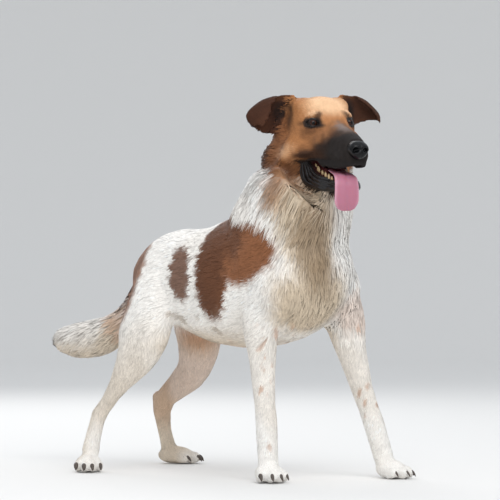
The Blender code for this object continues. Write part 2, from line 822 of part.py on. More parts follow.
def paw_pieces(leg):
    """The paw and its four claws."""
    spot, yaw, width, length = PAWS[leg]
    paw = blended(whole_paw(leg), "paw", PAW_VOXEL)
    relax(paw, 6)
    ankle = FORE_ANKLE if leg.startswith("fore") else HIND_ANKLE
    ahead, left = spot
    low = (ahead - 0.12, left - 0.09)
    high = (ahead + 0.14, left + 0.11)
    paw = cut(paw, upright_box((*low, -0.05), (*high, ankle + 0.01)), "INTERSECT", "paw")
    paw = thinned(paw, "paw", PAW_TRIANGLES)
    paw = cut(paw, upright_box((*low, 0.0), (*high, ankle)), "INTERSECT", "paw")
    cutters = Shell()
    claws = {}
    for number, (centre, ahead) in enumerate(toe_places(leg), 1):
        up = Vector((0, 0, 1))
        nose = (ahead * 0.95 - up * 0.30).normalized()
        lift = (up - nose * up.dot(nose)).normalized()
        root = centre + ahead * 0.0120 + up * 0.0030
        claws[f"claw_{leg}_{number}"] = claw_shell(root, nose, lift, 0.0165, 0.0036)
        wide = claw_shell(root - nose * GAP, nose, lift, 0.0165 + GAP, 0.0036 + GAP)
        cutters.add(wide.points, wide.faces)
    return cut(paw, cutters.mesh("claws"), "DIFFERENCE", "paw"), claws


def head_pieces():
    head = blended(whole_head(), "head", HEAD_VOXEL)
    relax(head, 14)
    clear_of_jaw(head)
    head = thinned(head, "head", HEAD_TRIANGLES)
    head = cut(head, above(UNDER_HEAD), "INTERSECT", "head")
    nose_space = head_region((11.32, -3, -9), (15, 3, 0))
    head = cut(head, nose_space, "DIFFERENCE", "head")
    pieces = {}
    for name, side in (("ear_right", -1), ("ear_left", 1)):
        pieces[name], head = split(head, lambda grow: beside_head(side, grow), name)
    pieces["lower_jaw"], head = split(
        head, lambda grow: head_region((0, -6, -9), (15, 6, 0), JAW_JOINT, 9.0, grow), "jaw"
    )
    roof = Shell()
    head_loft(
        roof,
        [
            (-2.4, -7.2, -9.0, 2.2),
            (-1.2, -6.8, -9.2, 3.0),
            (0.6, -6.5, -9.5, 2.9),
            (3.0, -6.6, -10.0, 2.35),
            (6.0, -6.8, -10.4, 1.95),
            (9.0, -7.0, -10.4, 1.5),
            (10.2, -7.4, -10.2, 0.9),
        ],
    )
    head = cut(head, roof.mesh("roof"), "DIFFERENCE", "head")
    for side in (-1, 1):
        head = cut(head, solid_eye(side, EYE_RADIUS + GAP / CM), "DIFFERENCE", "head")
    pieces["head"] = head
    return pieces


# Each as ahead, up, height and radius.
CHEEK_TEETH = ((-1.1, -8.9, 1.3, 0.42), (0.5, -9.7, 1.05, 0.36), (3.1, -10.6, 0.95, 0.30))


def lower_teeth(jaw):
    """The cheek teeth that the open mouth shows, grown from the jaw."""
    teeth = Shell()
    for side in (-1, 1):
        for ahead, up, tall, radius in CHEEK_TEETH:
            base = on_head(ahead, side * 2.35, up - 0.3)
            tip = on_head(ahead + 0.1, side * 2.3, up + tall - 0.2)
            cone(teeth, base, tip, radius * CM)
    jaw = cut(jaw, teeth.mesh("teeth"), "UNION", "lower_jaw")
    bed = tongue_shell(TONGUE_ROOM).mesh("tongue_bed")
    return cut(jaw, bed, "DIFFERENCE", "lower_jaw")


def build():
    for obj in list(bpy.data.objects):
        bpy.data.objects.remove(obj)
    coats = {
        "trunk": ("white_coat", WHITE),
        "neck": ("white_coat", WHITE),
        "tail": ("white_coat", WHITE),
        "head": ("tan_coat", TAN),
        "lower_jaw": ("black_coat", BLACK),
        "ear_right": ("brown_coat", DARK_BROWN),
        "ear_left": ("brown_coat", DARK_BROWN),
    }
    looks = {name: material(name, colour, 0.85) for name, colour in set(coats.values())}
    leather = material("nose_leather", BLACK, 0.35)
    tongue_skin = material("tongue_skin", PINK, 0.40)
    horn = material("claw_horn", HORN, 0.40)
    glass = material("eye_surface", EYE_BROWN, 0.05)
    made = []

    def place(name, mesh, look):
        mesh.name = name
        mesh.materials.clear()
        mesh.materials.append(look)
        obj = object_of(name, mesh)
        for face in mesh.polygons:
            face.use_smooth = True
        made.append(obj)

    pieces = body_pieces()
    pieces.update(head_pieces())
    pieces["lower_jaw"] = lower_teeth(pieces["lower_jaw"])
    for name, mesh in pieces.items():
        label = f"{name[:4]}_leg_{name[5:]}" if name in PAWS else name
        place(label, mesh, looks[coats.get(name, coats["trunk"])[0]])
    for leg in PAWS:
        paw, claws = paw_pieces(leg)
        place(f"{leg[:4]}_paw_{leg[5:]}", paw, looks["white_coat"])
        for name, shell in claws.items():
            place(name, shell.mesh(name), horn)
    place("nose", nose_shell().mesh("nose"), leather)
    place("tongue", tongue_shell().mesh("tongue"), tongue_skin)
    place("eye_right", solid_eye(-1, EYE_RADIUS), glass)
    place("eye_left", solid_eye(1, EYE_RADIUS), glass)

    low = Vector([min(v.co[i] for o in made for v in o.data.vertices) for i in range(3)])
    high = Vector([max(v.co[i] for o in made for v in o.data.vertices) for i in range(3)])
    shift = Vector((-(low.x + high.x) / 2, -(low.y + high.y) / 2, 0))
    for obj in made:
        obj.data.transform(Matrix.Translation(shift))
    return shift


if __name__ == "__main__":
    shift = build()
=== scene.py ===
"""The looks of a life-size standing dog: skin, coat of tufts, eyes, nose, mouth, claws and stage."""

import math

import bmesh
import bpy
import numpy as np
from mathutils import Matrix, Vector
from mathutils.bvhtree import BVHTree


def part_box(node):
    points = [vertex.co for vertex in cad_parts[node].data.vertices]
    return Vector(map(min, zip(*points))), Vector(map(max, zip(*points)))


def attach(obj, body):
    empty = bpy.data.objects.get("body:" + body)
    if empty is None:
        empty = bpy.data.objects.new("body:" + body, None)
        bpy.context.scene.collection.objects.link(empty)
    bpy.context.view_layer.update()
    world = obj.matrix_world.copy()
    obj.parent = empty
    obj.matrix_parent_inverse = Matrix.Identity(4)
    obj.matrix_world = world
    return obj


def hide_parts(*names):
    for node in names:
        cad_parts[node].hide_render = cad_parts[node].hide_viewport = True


bl_info = {
    "name": "Standing dog",
    "version": (1, 0, 0),
    "blender": (4, 5, 0),
    "location": "3D View > Sidebar > Dog",
    "description": "Builds the skin, coat, eyes, mouth and claws of a standing dog around its frame",
    "category": "Object",
}

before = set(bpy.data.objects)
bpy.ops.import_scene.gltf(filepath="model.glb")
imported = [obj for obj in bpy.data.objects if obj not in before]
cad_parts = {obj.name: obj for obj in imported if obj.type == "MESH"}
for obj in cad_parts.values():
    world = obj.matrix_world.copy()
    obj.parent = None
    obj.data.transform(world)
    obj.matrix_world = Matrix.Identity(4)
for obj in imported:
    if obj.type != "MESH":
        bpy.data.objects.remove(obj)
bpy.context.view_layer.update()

LEGS = ("fore_leg_right", "fore_leg_left", "hind_leg_right", "hind_leg_left")
PAWS = ("fore_paw_right", "fore_paw_left", "hind_paw_right", "hind_paw_left")
FLESH = ("trunk", "neck", "tail", "head", "lower_jaw", "ear_right", "ear_left") + LEGS + PAWS
CLAWS = tuple(sorted(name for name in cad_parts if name.startswith("claw")))
# Nodes with no hair on them that the skin closes round.
BARE_NODES = ("nose", "eye_left", "eye_right")
SIDES = {"right": -1, "left": 1}
CM = 0.01
MM = 0.001


# ---------------------------------------------------------------- where things are


def middle(node):
    """The middle of a node's box."""
    low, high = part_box(node)
    return (Vector(low) + Vector(high)) / 2


EYE_AT = {side: middle("eye_" + side) for side in SIDES}
EYE_RADIUS = (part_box("eye_left")[1][2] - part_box("eye_left")[0][2]) / 2

# The head's own directions: its left runs through both eyes, and its nose points level.
HEAD_LEFT = (EYE_AT["left"] - EYE_AT["right"]).normalized()
HEAD_AHEAD = Vector((HEAD_LEFT.y, -HEAD_LEFT.x, 0)).normalized()
HEAD_UP = HEAD_AHEAD.cross(HEAD_LEFT)
HEAD_AXES = np.array([HEAD_AHEAD, HEAD_LEFT, HEAD_UP])
# The eyes sit this far to the right of the head's middle, in metres.
EYES_TO_RIGHT = 0.0015
HEAD_AT = (EYE_AT["left"] + EYE_AT["right"]) / 2 + HEAD_LEFT * EYES_TO_RIGHT

# The body's places are ahead, left and up from under the loin, which lies behind and below the eyes.
LOIN_FROM_EYES = (0.008, 0.487)
LOIN = Vector((HEAD_AT.x + LOIN_FROM_EYES[0], HEAD_AT.y + LOIN_FROM_EYES[1], 0))

# Each eye's opening: how far it turns outwards and tilts, in degrees, then its size in centimetres.
EYE_TURN = 30
EYE_TILT = 7
LID_HALF = 1.26
LID_UP = 0.80
LID_DOWN = 0.66
LID_OVER = 0.10

# The middle of the back of the nose leather, in centimetres on the head.
NOSE_AHEAD = 10.9
NOSE_LEFT = -0.30
NOSE_UP = -5.85
# The bare skin of the lips ends this far out from the head's middle.
LIPS_OUT = 6.2


def on_head(ahead, left, up):
    """A place from centimetres ahead, left and up of the head's middle between the eyes."""
    return HEAD_AT + (HEAD_AHEAD * ahead + HEAD_LEFT * left + HEAD_UP * up) * CM


def on_body(ahead, left, up):
    """A place from metres ahead, left and up of the floor under the loin."""
    return LOIN + Vector((left, -ahead, up))


def head_places(points):
    """Points as centimetres ahead, left and up of the head's middle between the eyes."""
    return (points - np.array(HEAD_AT)) @ HEAD_AXES.T / CM


def body_places(points):
    """Points as metres ahead, left and up from under the loin."""
    moved = points - np.array(LOIN)
    return np.stack([-moved[:, 1], moved[:, 0], moved[:, 2]], axis=1)


def eye_places(points, side):
    """Points as centimetres towards the nose, up and out from the middle of one eye."""
    return (points - np.array(EYE_AT[side])) @ eye_axes(side).T / CM


def mirrored(places):
    """Places with the right side laid over the left."""
    return np.stack([places[:, 0], np.abs(places[:, 1]), places[:, 2]], axis=1)


# ---------------------------------------------------------------- numbers and meshes


def linear(hex_colour):
    """A screen colour as the linear red, green and blue that a shader takes."""
    values = [int(hex_colour[i : i + 2], 16) / 255 for i in (1, 3, 5)]
    return tuple(v / 12.92 if v <= 0.04045 else ((v + 0.055) / 1.055) ** 2.4 for v in values)


def fade(low, high, value):
    """0 below low, 1 above high, and smooth between. low may be the larger."""
    share = np.clip((value - low) / (high - low), 0, 1)
    return share * share * (3 - 2 * share)


def unit(rows):
    """Rows of numbers, each brought to a length of 1."""
    return rows / np.maximum(np.linalg.norm(rows, axis=1), 1e-9)[:, None]


WAVES = 6


def wobble(points, size, seed):
    """A smooth pattern from -1 to 1 whose bumps are about size across."""
    rng = np.random.default_rng(seed)
    total = np.zeros(len(points))
    for _ in range(WAVES):
        way = rng.normal(size=3)
        way *= 2 * math.pi / (size * 2) * rng.uniform(0.6, 1.5) / np.linalg.norm(way)
        total += np.sin(points @ way + rng.uniform(0, 6.3))
    return np.tanh(total / 2.2)


def read(rows, key, width, kind=float):
    """One value of every point, edge or corner of a mesh, in rows of this width."""
    values = np.empty(len(rows) * width, kind)
    rows.foreach_get(key, values)
    return values.reshape(-1, width)


def points_of(mesh):
    """Where each point of a mesh is, a row for each."""
    return read(mesh.vertices, "co", 3)


def normals_of(mesh):
    """Which way each point of a mesh faces, a row for each."""
    return read(mesh.vertices, "normal", 3)


def edges_of(mesh):
    """The two points that each edge of a mesh joins, a row for each."""
    return read(mesh.edges, "vertices", 2, np.int64)


def set_points(mesh, points):
    """Moves the points of a mesh."""
    mesh.vertices.foreach_set("co", np.ascontiguousarray(points, np.float32).ravel())
    mesh.update()


def spread(values, edges, rounds, share=0.5):
    """Evens out values over the mesh, so that nothing changes sharply where two parts meet."""
    values = values.astype(float).reshape(len(values), -1)
    count = np.bincount(edges.ravel(), minlength=len(values))[:, None]
    for _ in range(rounds):
        total = np.empty_like(values)
        for k in range(values.shape[1]):
            total[:, k] = np.bincount(edges[:, 0], values[edges[:, 1], k], len(values))
            total[:, k] += np.bincount(edges[:, 1], values[edges[:, 0], k], len(values))
        values = values * (1 - share) + total / count * share
    return values


# A mesh is softened by a step towards each point's neighbours, then a smaller one back.
STEP_IN = 0.55
STEP_OUT = -0.5


def relax(mesh, rounds, amount=1.0):
    """Softens a mesh without shrinking it much. amount is 0 to 1, for all points or for each one."""
    points = points_of(mesh)
    edges = edges_of(mesh)
    amount = np.reshape(amount, (-1, 1))
    for step in range(rounds):
        pulled = spread(points, edges, 1, 1.0) - points
        points = points + pulled * ((STEP_IN if step % 2 == 0 else STEP_OUT) * amount)
    set_points(mesh, points)


def show(name, mesh, look):
    """A piece that rides on the dog's one body, smooth all over."""
    made = bpy.data.objects.new(name, mesh)
    bpy.context.scene.collection.objects.link(made)
    mesh.materials.clear()
    mesh.materials.append(look)
    mesh.shade_smooth()
    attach(made, "root")
    return made


def paint(mesh, name, colours):
    """Stores a colour on each point of a mesh."""
    layer = mesh.color_attributes.new(name, "FLOAT_COLOR", "POINT")
    rows = np.ones((len(colours), 4), np.float32)
    rows[:, :3] = colours
    layer.data.foreach_set("color", rows.ravel())


def mesh_of(name, points, faces):
    """A mesh from arrays of points and of triangles or quads."""
    faces = np.asarray(faces, np.int32)
    corners = faces.shape[1]
    mesh = bpy.data.meshes.new(name)
    mesh.vertices.add(len(points))
    mesh.vertices.foreach_set("co", np.ascontiguousarray(points, np.float32).ravel())
    mesh.loops.add(faces.size)
    mesh.loops.foreach_set("vertex_index", faces.ravel())
    mesh.polygons.add(len(faces))
    mesh.polygons.foreach_set("loop_start", np.arange(0, faces.size, corners, dtype=np.int32))
    mesh.update(calc_edges=True)
    return mesh


def evaluated(obj):
    """A new mesh of an object with its modifiers applied."""
    graph = bpy.context.evaluated_depsgraph_get()
    return bpy.data.meshes.new_from_object(obj.evaluated_get(graph))


def shade_like(mesh, normals):
    """Shades each point as if it faced the way given, so that hair takes the light of the body under it."""
    mesh.normals_split_custom_set_from_vertices(normals)


def turns(count):
    """The angles of points set evenly round a ring."""
    return [2 * math.pi * i / count for i in range(count)]


class Shell:
    """Points and faces of closed shells, gathered into one mesh."""

    def __init__(self):
        self.points = []
        self.faces = []

    def rings(self, rings):
        """Joins rings of places into one shell, closed at both ends."""
        count = len(rings[0])
        start = len(self.points)
        self.points += [Vector(place) for ring in rings for place in ring]
        for r in range(len(rings) - 1):
            for i in range(count):
                j = (i + 1) % count
                a = start + r * count
                self.faces.append([a + i, a + j, a + count + j, a + count + i])
        self.faces.append([start + i for i in range(count)][::-1])
        last = start + (len(rings) - 1) * count
        self.faces.append([last + i for i in range(count)])

    def tube(self, places, side, half_side, half_lift, count=12):
        """A tube through places. half_side and half_lift give its half sizes at each one."""
        rings = []
        for k, place in enumerate(places):
            along = places[min(k + 1, len(places) - 1)] - places[max(k - 1, 0)]
            along = along.normalized()
            across = (side - along * side.dot(along)).normalized()
            lift = along.cross(across)
            ring = []
            for turn in turns(count):
                out = across * (half_side[k] * math.cos(turn)) + lift * (half_lift[k] * math.sin(turn))
                ring.append(place + out)
            rings.append(ring)
        self.rings(rings)

    def mesh(self, name):
        """One mesh of all the shells, facing outwards."""
        made = bpy.data.meshes.new(name)
        made.from_pydata([tuple(p) for p in self.points], [], self.faces)
        made.validate()
        work = bmesh.new()
        work.from_mesh(made)
        bmesh.ops.recalc_face_normals(work, faces=work.faces)
        work.to_mesh(made)
        work.free()
        return made


def shell_of(name, rings):
    """A mesh of one closed shell."""
    shell = Shell()
    shell.rings(rings)
    return shell.mesh(name)


def curve_through(rows, steps):
    """Rows of numbers with more between each two, along a smooth curve through them all."""
    rows = np.array(rows, float)
    ends = np.vstack([rows[:1], rows, rows[-1:]])
    made = []
    for k in range(1, len(ends) - 2):
        a, b, c, d = ends[k - 1 : k + 3]
        for s in range(steps):
            t = s / steps
            bend = (2 * a - 5 * b + 4 * c - d) * t * t + (3 * b - a - 3 * c + d) * t**3
            made.append(0.5 * (2 * b + (c - a) * t + bend))
    made.append(rows[-1])
    return np.array(made)


# ---------------------------------------------------------------- materials


def node(tree, kind, links=None, **settings):
    """Adds one node, with its settings and what its inputs are linked to or hold."""
    made = tree.nodes.new(kind)
    for name, value in settings.items():
        setattr(made, name, value)
    for name, value in (links or {}).items():
        if isinstance(value, bpy.types.NodeSocket):
            tree.links.new(value, made.inputs[name])
        else:
            made.inputs[name].default_value = value
    return made


def surface(name, colour=None, tint=None, **values):
    """A material with one Principled shader, in one colour or in the colours painted on the mesh."""
    made = bpy.data.materials.new(name)
    made.use_nodes = True
    tree = made.node_tree
    shader = tree.nodes["Principled BSDF"]
    for key, value in values.items():
        shader.inputs[key.replace("_", " ")].default_value = value
    if colour:
        shader.inputs["Base Color"].default_value = (*linear(colour), 1)
    if tint:
        painted = node(tree, "ShaderNodeVertexColor", layer_name=tint)
        tree.links.new(painted.outputs["Color"], shader.inputs["Base Color"])
    return made


def roughen(made, texture, height, grain, strength, depth, detail=None, invert=False):
    """Raises a fine pattern all over a material. grain is its size and depth its height, in metres."""
    tree = made.node_tree
    place = node(tree, "ShaderNodeTexCoord")
    links = {"Vector": place.outputs["Object"], "Scale": 1 / grain}
    if detail is not None:
        links["Detail"] = detail
    pattern = node(tree, texture, links)
    links = {"Height": pattern.outputs[height], "Strength": strength, "Distance": depth}
    bump = node(tree, "ShaderNodeBump", links, invert=invert)
    tree.links.new(bump.outputs["Normal"], tree.nodes["Principled BSDF"].inputs["Normal"])


def hair_look(name, roughness):
    """Dog hair: keratin fibres, matt in the mass, with a soft sheen where the light grazes them."""
    return surface(
        name,
        tint="hair",
        Roughness=roughness,
        IOR=1.55,
        Specular_IOR_Level=0.14,
        Sheen_Weight=0.04,
        Sheen_Roughness=0.5,
    )


def skin_look():
    """Skin under fur: the colours of the coat over it, with a nap of fine hairs a millimetre apart."""
    made = surface("furred_skin", tint="hair", Roughness=0.7, IOR=1.45, Specular_IOR_Level=0.25)
    roughen(made, "ShaderNodeTexNoise", "Fac", 1.2 * MM, 0.5, 0.4 * MM, detail=3.0)
    return made


def eye_look():
    """A wet ball: the tear film gives one sharp highlight over a brown iris."""
    return surface(
        "eyeball",
        tint="tint",
        Roughness=0.3,
        IOR=1.38,
        Specular_IOR_Level=0.05,
        Coat_Weight=0.4,
        Coat_Roughness=0.02,
    )


def lid_look():
    """Bare black skin, moist and slightly glossy."""
    return surface("lid_skin", "#141112", Roughness=0.38, IOR=1.45)


def nose_look():
    """Nose leather: black, damp, and pebbled in cells about a millimetre across."""
    made = surface("nose_leather_damp", "#08080a", Roughness=0.24, IOR=1.4, Specular_IOR_Level=0.35)
    roughen(made, "ShaderNodeTexVoronoi", "Distance", 1.3 * MM, 0.6, 0.3 * MM, invert=True)
    return made


def tongue_look():
    """Wet tongue: soft under the surface, with fine papillae that break up its shine."""
    made = surface(
        "tongue_wet",
        tint="tint",
        Roughness=0.42,
        IOR=1.4,
        Subsurface_Weight=0.25,
        Subsurface_Scale=3 * MM,
    )
    roughen(made, "ShaderNodeTexNoise", "Fac", 0.9 * MM, 0.35, 0.3 * MM)
    return made


def lip_look():
    """Black lips: bare, wet and rubbery."""
    return surface("lip_skin", "#191617", Roughness=0.33, IOR=1.45)


def enamel_look():
    """Tooth enamel: ivory, yellower with age, and glossy from spit."""
    return surface("enamel", "#cdb083", Roughness=0.25, IOR=1.62)


def horn_look():
    """Horn of the claws: dark grey-brown, worn to a dull polish."""
    return surface("horn", "#4b4038", Roughness=0.45, IOR=1.55)


def paper_look():
    """Matt paper: pale, with no pattern."""
    return surface("paper", "#e3e2e0", Roughness=0.9, IOR=1.45)


# ---------------------------------------------------------------- what a user would change


def colour_choice(name, description, hex_colour):
    """A colour that a user may change."""
    return bpy.props.FloatVectorProperty(
        name=name, description=description, subtype="COLOR", size=3, min=0, max=1, default=linear(hex_colour)
    )


# Some of these hues also paint light: cream and tan partly paint shade under the belly, the tail and the far
# hind leg, gold partly paints light on top of the forehead, grey partly paints a highlight along the muzzle's
# bridge, and black paints shade in the ears' hollows.
class DogHairColours(bpy.types.PropertyGroup):
    white: colour_choice("White", "Hair of the body, legs and tail", "#f6f2ec")
    cream: colour_choice("Cream", "Hair of the chest, belly and inner legs", "#d2c0a8")
    ash: colour_choice("Ash", "Grey-brown hair of the throat", "#8e775c")
    gold: colour_choice("Gold", "Pale tan hair of the forehead", "#f0c59c")
    tan: colour_choice("Tan", "Hair of the face and the cheeks", "#b37a4d")
    rust: colour_choice("Rust", "Red-brown hair of the shoulder and croup", "#8a5a3c")
    brown: colour_choice("Brown", "Dark brown hair of the ears and patches", "#45281a")
    black: colour_choice("Black", "Hair of the mask and the lips", "#1f1b1a")
    grey: colour_choice("Grey", "Greyed hair on the bridge of the muzzle", "#857872")


class DogCoatSizes(bpy.types.PropertyGroup):
    voxel: bpy.props.FloatProperty(
        name="Skin cell", description="Size of the skin's cells", default=3.5 * MM, unit="LENGTH"
    )
    fullness: bpy.props.FloatProperty(
        name="Fullness", description="How many tufts grow, as a share of the full coat", default=1.0
    )
    seed: bpy.props.IntProperty(name="Seed", description="Changes how the tufts fall", default=7)


class DogStageSizes(bpy.types.PropertyGroup):
    lens: bpy.props.FloatProperty(
        name="Lens", description="Focal length", default=155.0, subtype="DISTANCE_CAMERA"
    )
    key: bpy.props.FloatProperty(
        name="Key light", description="Strength of the large soft light", default=60.0, unit="POWER"
    )


# ---------------------------------------------------------------- the coat's markings


def colours():
    """The hair's colours as they are chosen, by name."""
    chosen = bpy.context.scene.dog_hair
    return {name: np.array(getattr(chosen, name)) for name in DogHairColours.__annotations__}


def patch(places, centre, radii, edge=0.25, lean=0.0):
    """1 inside an oval patch and 0 outside it. lean turns it in the ahead-up plane, in degrees."""
    moved = places - np.array(centre)
    c = math.cos(math.radians(lean))
    s = math.sin(math.radians(lean))
    turned = np.stack(
        [moved[:, 0] * c + moved[:, 2] * s, moved[:, 1], moved[:, 2] * c - moved[:, 0] * s], axis=1
    )
    far = np.sqrt(((turned / np.array(radii)) ** 2).sum(axis=1))
    return fade(1 + edge, 1 - edge, far)


def over(under, hue, mask):
    """Colours with a hue laid over them, as far as the mask says at each point."""
    mask = np.clip(mask, 0, 1)[:, None]
    return under * (1 - mask) + hue * mask


def over_patches(under, places, patches, hues):
    """Lays oval patches over colours in order."""
    for name, strength, *oval in patches:
        under = over(under, hues[name], strength * patch(places, *oval))
    return under


# Patches of hair: colour, strength, middle, half sizes, softness of the edge and lean in degrees.
# Those of the body are in metres from under the loin.
CHEST_AND_BELLY = (
    ("cream", 1.0, (0.47, -0.045, 0.345), (0.07, 0.085, 0.075), 0.35),
    ("cream", 0.9, (0.475, -0.055, 0.50), (0.060, 0.050, 0.10), 0.3, 12),
    ("cream", 0.9, (0.435, -0.040, 0.545), (0.055, 0.065, 0.035), 0.3, -20),
    ("tan", 0.65, (0.408, -0.048, 0.562), (0.026, 0.040, 0.040), 0.5, 20),
    ("tan", 0.35, (0.478, 0.085, 0.335), (0.05, 0.045, 0.045), 0.4),
    # Cream along the underside of the belly: partly the hair's own colour and partly painted shade.
    ("cream", 0.8, (0.16, 0.0, 0.262), (0.20, 0.09, 0.035), 0.5),
    ("cream", 0.7, (0.40, 0.085, 0.30), (0.035, 0.05, 0.06), 0.4),
    ("ash", 0.8, (0.485, -0.050, 0.465), (0.045, 0.034, 0.075), 0.4, 8),
    ("ash", 0.45, (0.50, -0.035, 0.40), (0.03, 0.035, 0.05), 0.5),
    # Tan under the belly: partly the hair's own colour and partly painted shade.
    ("tan", 0.45, (0.235, 0.03, 0.262), (0.09, 0.05, 0.022), 0.5),
    ("tan", 0.60, (0.085, 0.02, 0.272), (0.085, 0.055, 0.030), 0.5),
)
THROAT = ((0.44, -0.045, 0.53), (0.055, 0.06, 0.05), 0.4)
CROUP = ((0.006, -0.070, 0.395), (0.046, 0.075, 0.100), 0.2, -8)
CROUP_BELOW = ((-0.035, -0.02, 0.380), (0.034, 0.05, 0.070), 0.3, 30)
DOCK = ((-0.075, -0.01, 0.315), (0.030, 0.06, 0.040), 0.4, 20)
SADDLE = ((0.262, -0.08, 0.425), (0.050, 0.2, 0.112), 0.14, -4)
SADDLE_FRONT = ((0.345, -0.08, 0.442), (0.080, 0.2, 0.064), 0.16, 14)
SADDLE_DARK = ((0.250, -0.08, 0.420), (0.047, 0.2, 0.130), 0.25, -4)
SADDLE_DARK_FRONT = ((0.315, -0.08, 0.475), (0.030, 0.2, 0.045), 0.4, -20)
FLANK = ((0.158, -0.08, 0.402), (0.030, 0.2, 0.056), 0.16, 14)
LEFT_SIDE = ((0.215, 0.09, 0.425), (0.050, 0.06, 0.060), 0.18, 10)
BELLY_SPOTS = ((0.17, -0.07, 0.30), (0.1, 0.1, 0.05))

# Those of the head are in centimetres from its middle between the eyes.
CHEEKS = (
    ("gold", 0.45, (-5.0, -5.6, -5.0), (2.6, 3, 1.5), 0.5),
    ("gold", 0.45, (-5.0, 5.6, -5.0), (2.6, 3, 1.5), 0.5),
    ("brown", 0.55, (-6.5, -6.0, -8.0), (2.2, 3, 2.0), 0.5),
)
# The grey along the top of the bridge is partly greyed hair and partly a painted highlight.
BRIDGE = (
    ("black", 0.55, (2.4, 0, -1.6), (2.6, 2.2, 1.4), 0.6),
    ("grey", 0.75, (4.4, 0, -1.4), (3.6, 1.2, 1.3), 0.5),
)
UNDER_EYES = (
    ("tan", 0.60, (2.0, -3.4, -3.1), (1.8, 1.6, 1.3), 0.5),
    ("tan", 0.60, (2.0, 3.4, -3.1), (1.8, 1.6, 1.3), 0.5),
)
# The gold forehead is partly the hair's own paler colour and partly painted light on the top of the head.
FOREHEAD = (("gold", 0.95, (-1.0, 0, 3.6), (3.6, 4.2, 2.8), 0.5),)
# Black painted shade in each ear's hollow under its fold, and on the head at the ear's root.
EAR_HOLLOW_SHADE = ((-6.2, 7.0, 2.0), (2.2, 1.5, 3.0), 0.4)
EAR_BASE_SHADE = ((-5.8, 6.2, 2.6), (1.5, 0.9, 2.8), 0.5)
LOCK_RADII = (1.7, 3.5, 3.6)

# Those round each eye are in centimetres towards the nose, up and out.
ROUND_EYE = (
    ("brown", 0.35, (0.8, -2.2, 0.8), (2.6, 1.3, 2.4), 0.5),
    ("brown", 0.5, (0.0, -1.5, 0.8), (1.8, 0.8, 2.0), 0.5),
    ("black", 0.97, (0.1, 0.0, 0.8), (2.05, 1.15, 2.0), 0.22),
    ("black", 0.75, (1.25, 1.35, 0.8), (0.6, 0.9, 1.6), 0.55),
    ("black", 0.85, (2.0, -0.6, 0.6), (0.9, 0.45, 1.5), 0.5),
    ("black", 0.5, (-2.3, -0.1, 0.2), (1.3, 0.4, 1.6), 0.6),
)


def shifted(places, noises, size):
    """Places moved about by three noises, so that the edge of a patch is ragged."""
    return places + np.stack(noises, axis=1) * size


def body_colours(points, hues, rough, broad, fine):
    """The hair's colours behind the head: white, with cream shade and brown and rust patches."""
    body = body_places(points)
    ahead, left, up = body.T
    ragged = shifted(body, [rough, rough * 0, fine], 0.006)
    colour = np.tile(hues["white"], (len(points), 1))

    def lay(name, mask):
        nonlocal colour
        colour = over(colour, hues[name], mask)

    # Cream under the body, inside the legs, on the chest and under the tail; under the belly and the tail it
    # is partly the hair's own colour and partly painted shade.
    lay("cream", 0.22 * fade(0.34, 0.26, up) * fade(0.05, 0.09, up) * fade(0.10, 0.15, up + 0.02 * broad))
    lay("cream", 0.12 * fade(0.1, 0.8, broad))
    tail_line = 0.262 + 0.12 * fade(-0.14, -0.05, ahead)
    lay("cream", 0.8 * fade(-0.05, -0.09, ahead) * fade(0.02, -0.02, up - tail_line))
    colour = over_patches(colour, ragged, CHEST_AND_BELLY, hues)
    lay("ash", 0.6 * fade(0.1, 0.7, fine) * patch(ragged, *THROAT))
    shank = fade(0.06, 0.12, up)
    # Tan inside the far, left hind leg: partly the hair's own colour and partly painted shade.
    lay("tan", 0.40 * fade(-0.01, 0.03, left) * fade(0.14, 0.09, ahead) * fade(0.33, 0.28, up) * shank)
    lay("cream", 0.4 * fade(-0.02, -0.05, left) * fade(0.10, 0.06, ahead) * fade(0.30, 0.2, up) * shank)

    # The rust stripe down the croup to the root of the tail.
    croup = np.maximum(patch(ragged, *CROUP), patch(ragged, *CROUP_BELOW))
    lay("rust", 0.9 * croup)
    lay("brown", 0.35 * croup * fade(-0.2, 0.8, rough))
    lay("tan", 0.45 * patch(ragged, *DOCK))

    # Patches on the right shoulder and flank, and one on the left side.
    right = fade(0.03, 0.0, left)
    saddle = np.maximum(patch(ragged, *SADDLE), patch(ragged, *SADDLE_FRONT)) * right
    dark = np.maximum(patch(ragged, *SADDLE_DARK), 0.8 * patch(ragged, *SADDLE_DARK_FRONT))
    lay("rust", saddle)
    lay("brown", 0.85 * dark * saddle)
    lay("rust", 0.25 * dark * saddle)
    flank = patch(ragged, *FLANK) * right
    lay("brown", 0.88 * flank)
    lay("rust", 0.45 * flank)
    left_side = patch(ragged, *LEFT_SIDE)
    lay("brown", 0.88 * left_side)
    lay("rust", 0.5 * left_side * fade(0.0, 0.6, broad))

    # Freckles on the forelegs, and faint spots under the flank.
    fleck = fade(0.72, 0.9, wobble(points, 0.011, 5)) * fade(0.05, 0.5, wobble(points, 0.05, 6))
    lay("tan", 0.55 * fleck * fade(0.24, 0.30, ahead) * fade(0.34, 0.28, up) * fade(0.05, 0.08, up))
    lay("ash", 0.5 * fade(0.75, 0.9, wobble(points, 0.02, 8)) * patch(body, *BELLY_SPOTS))
    return colour


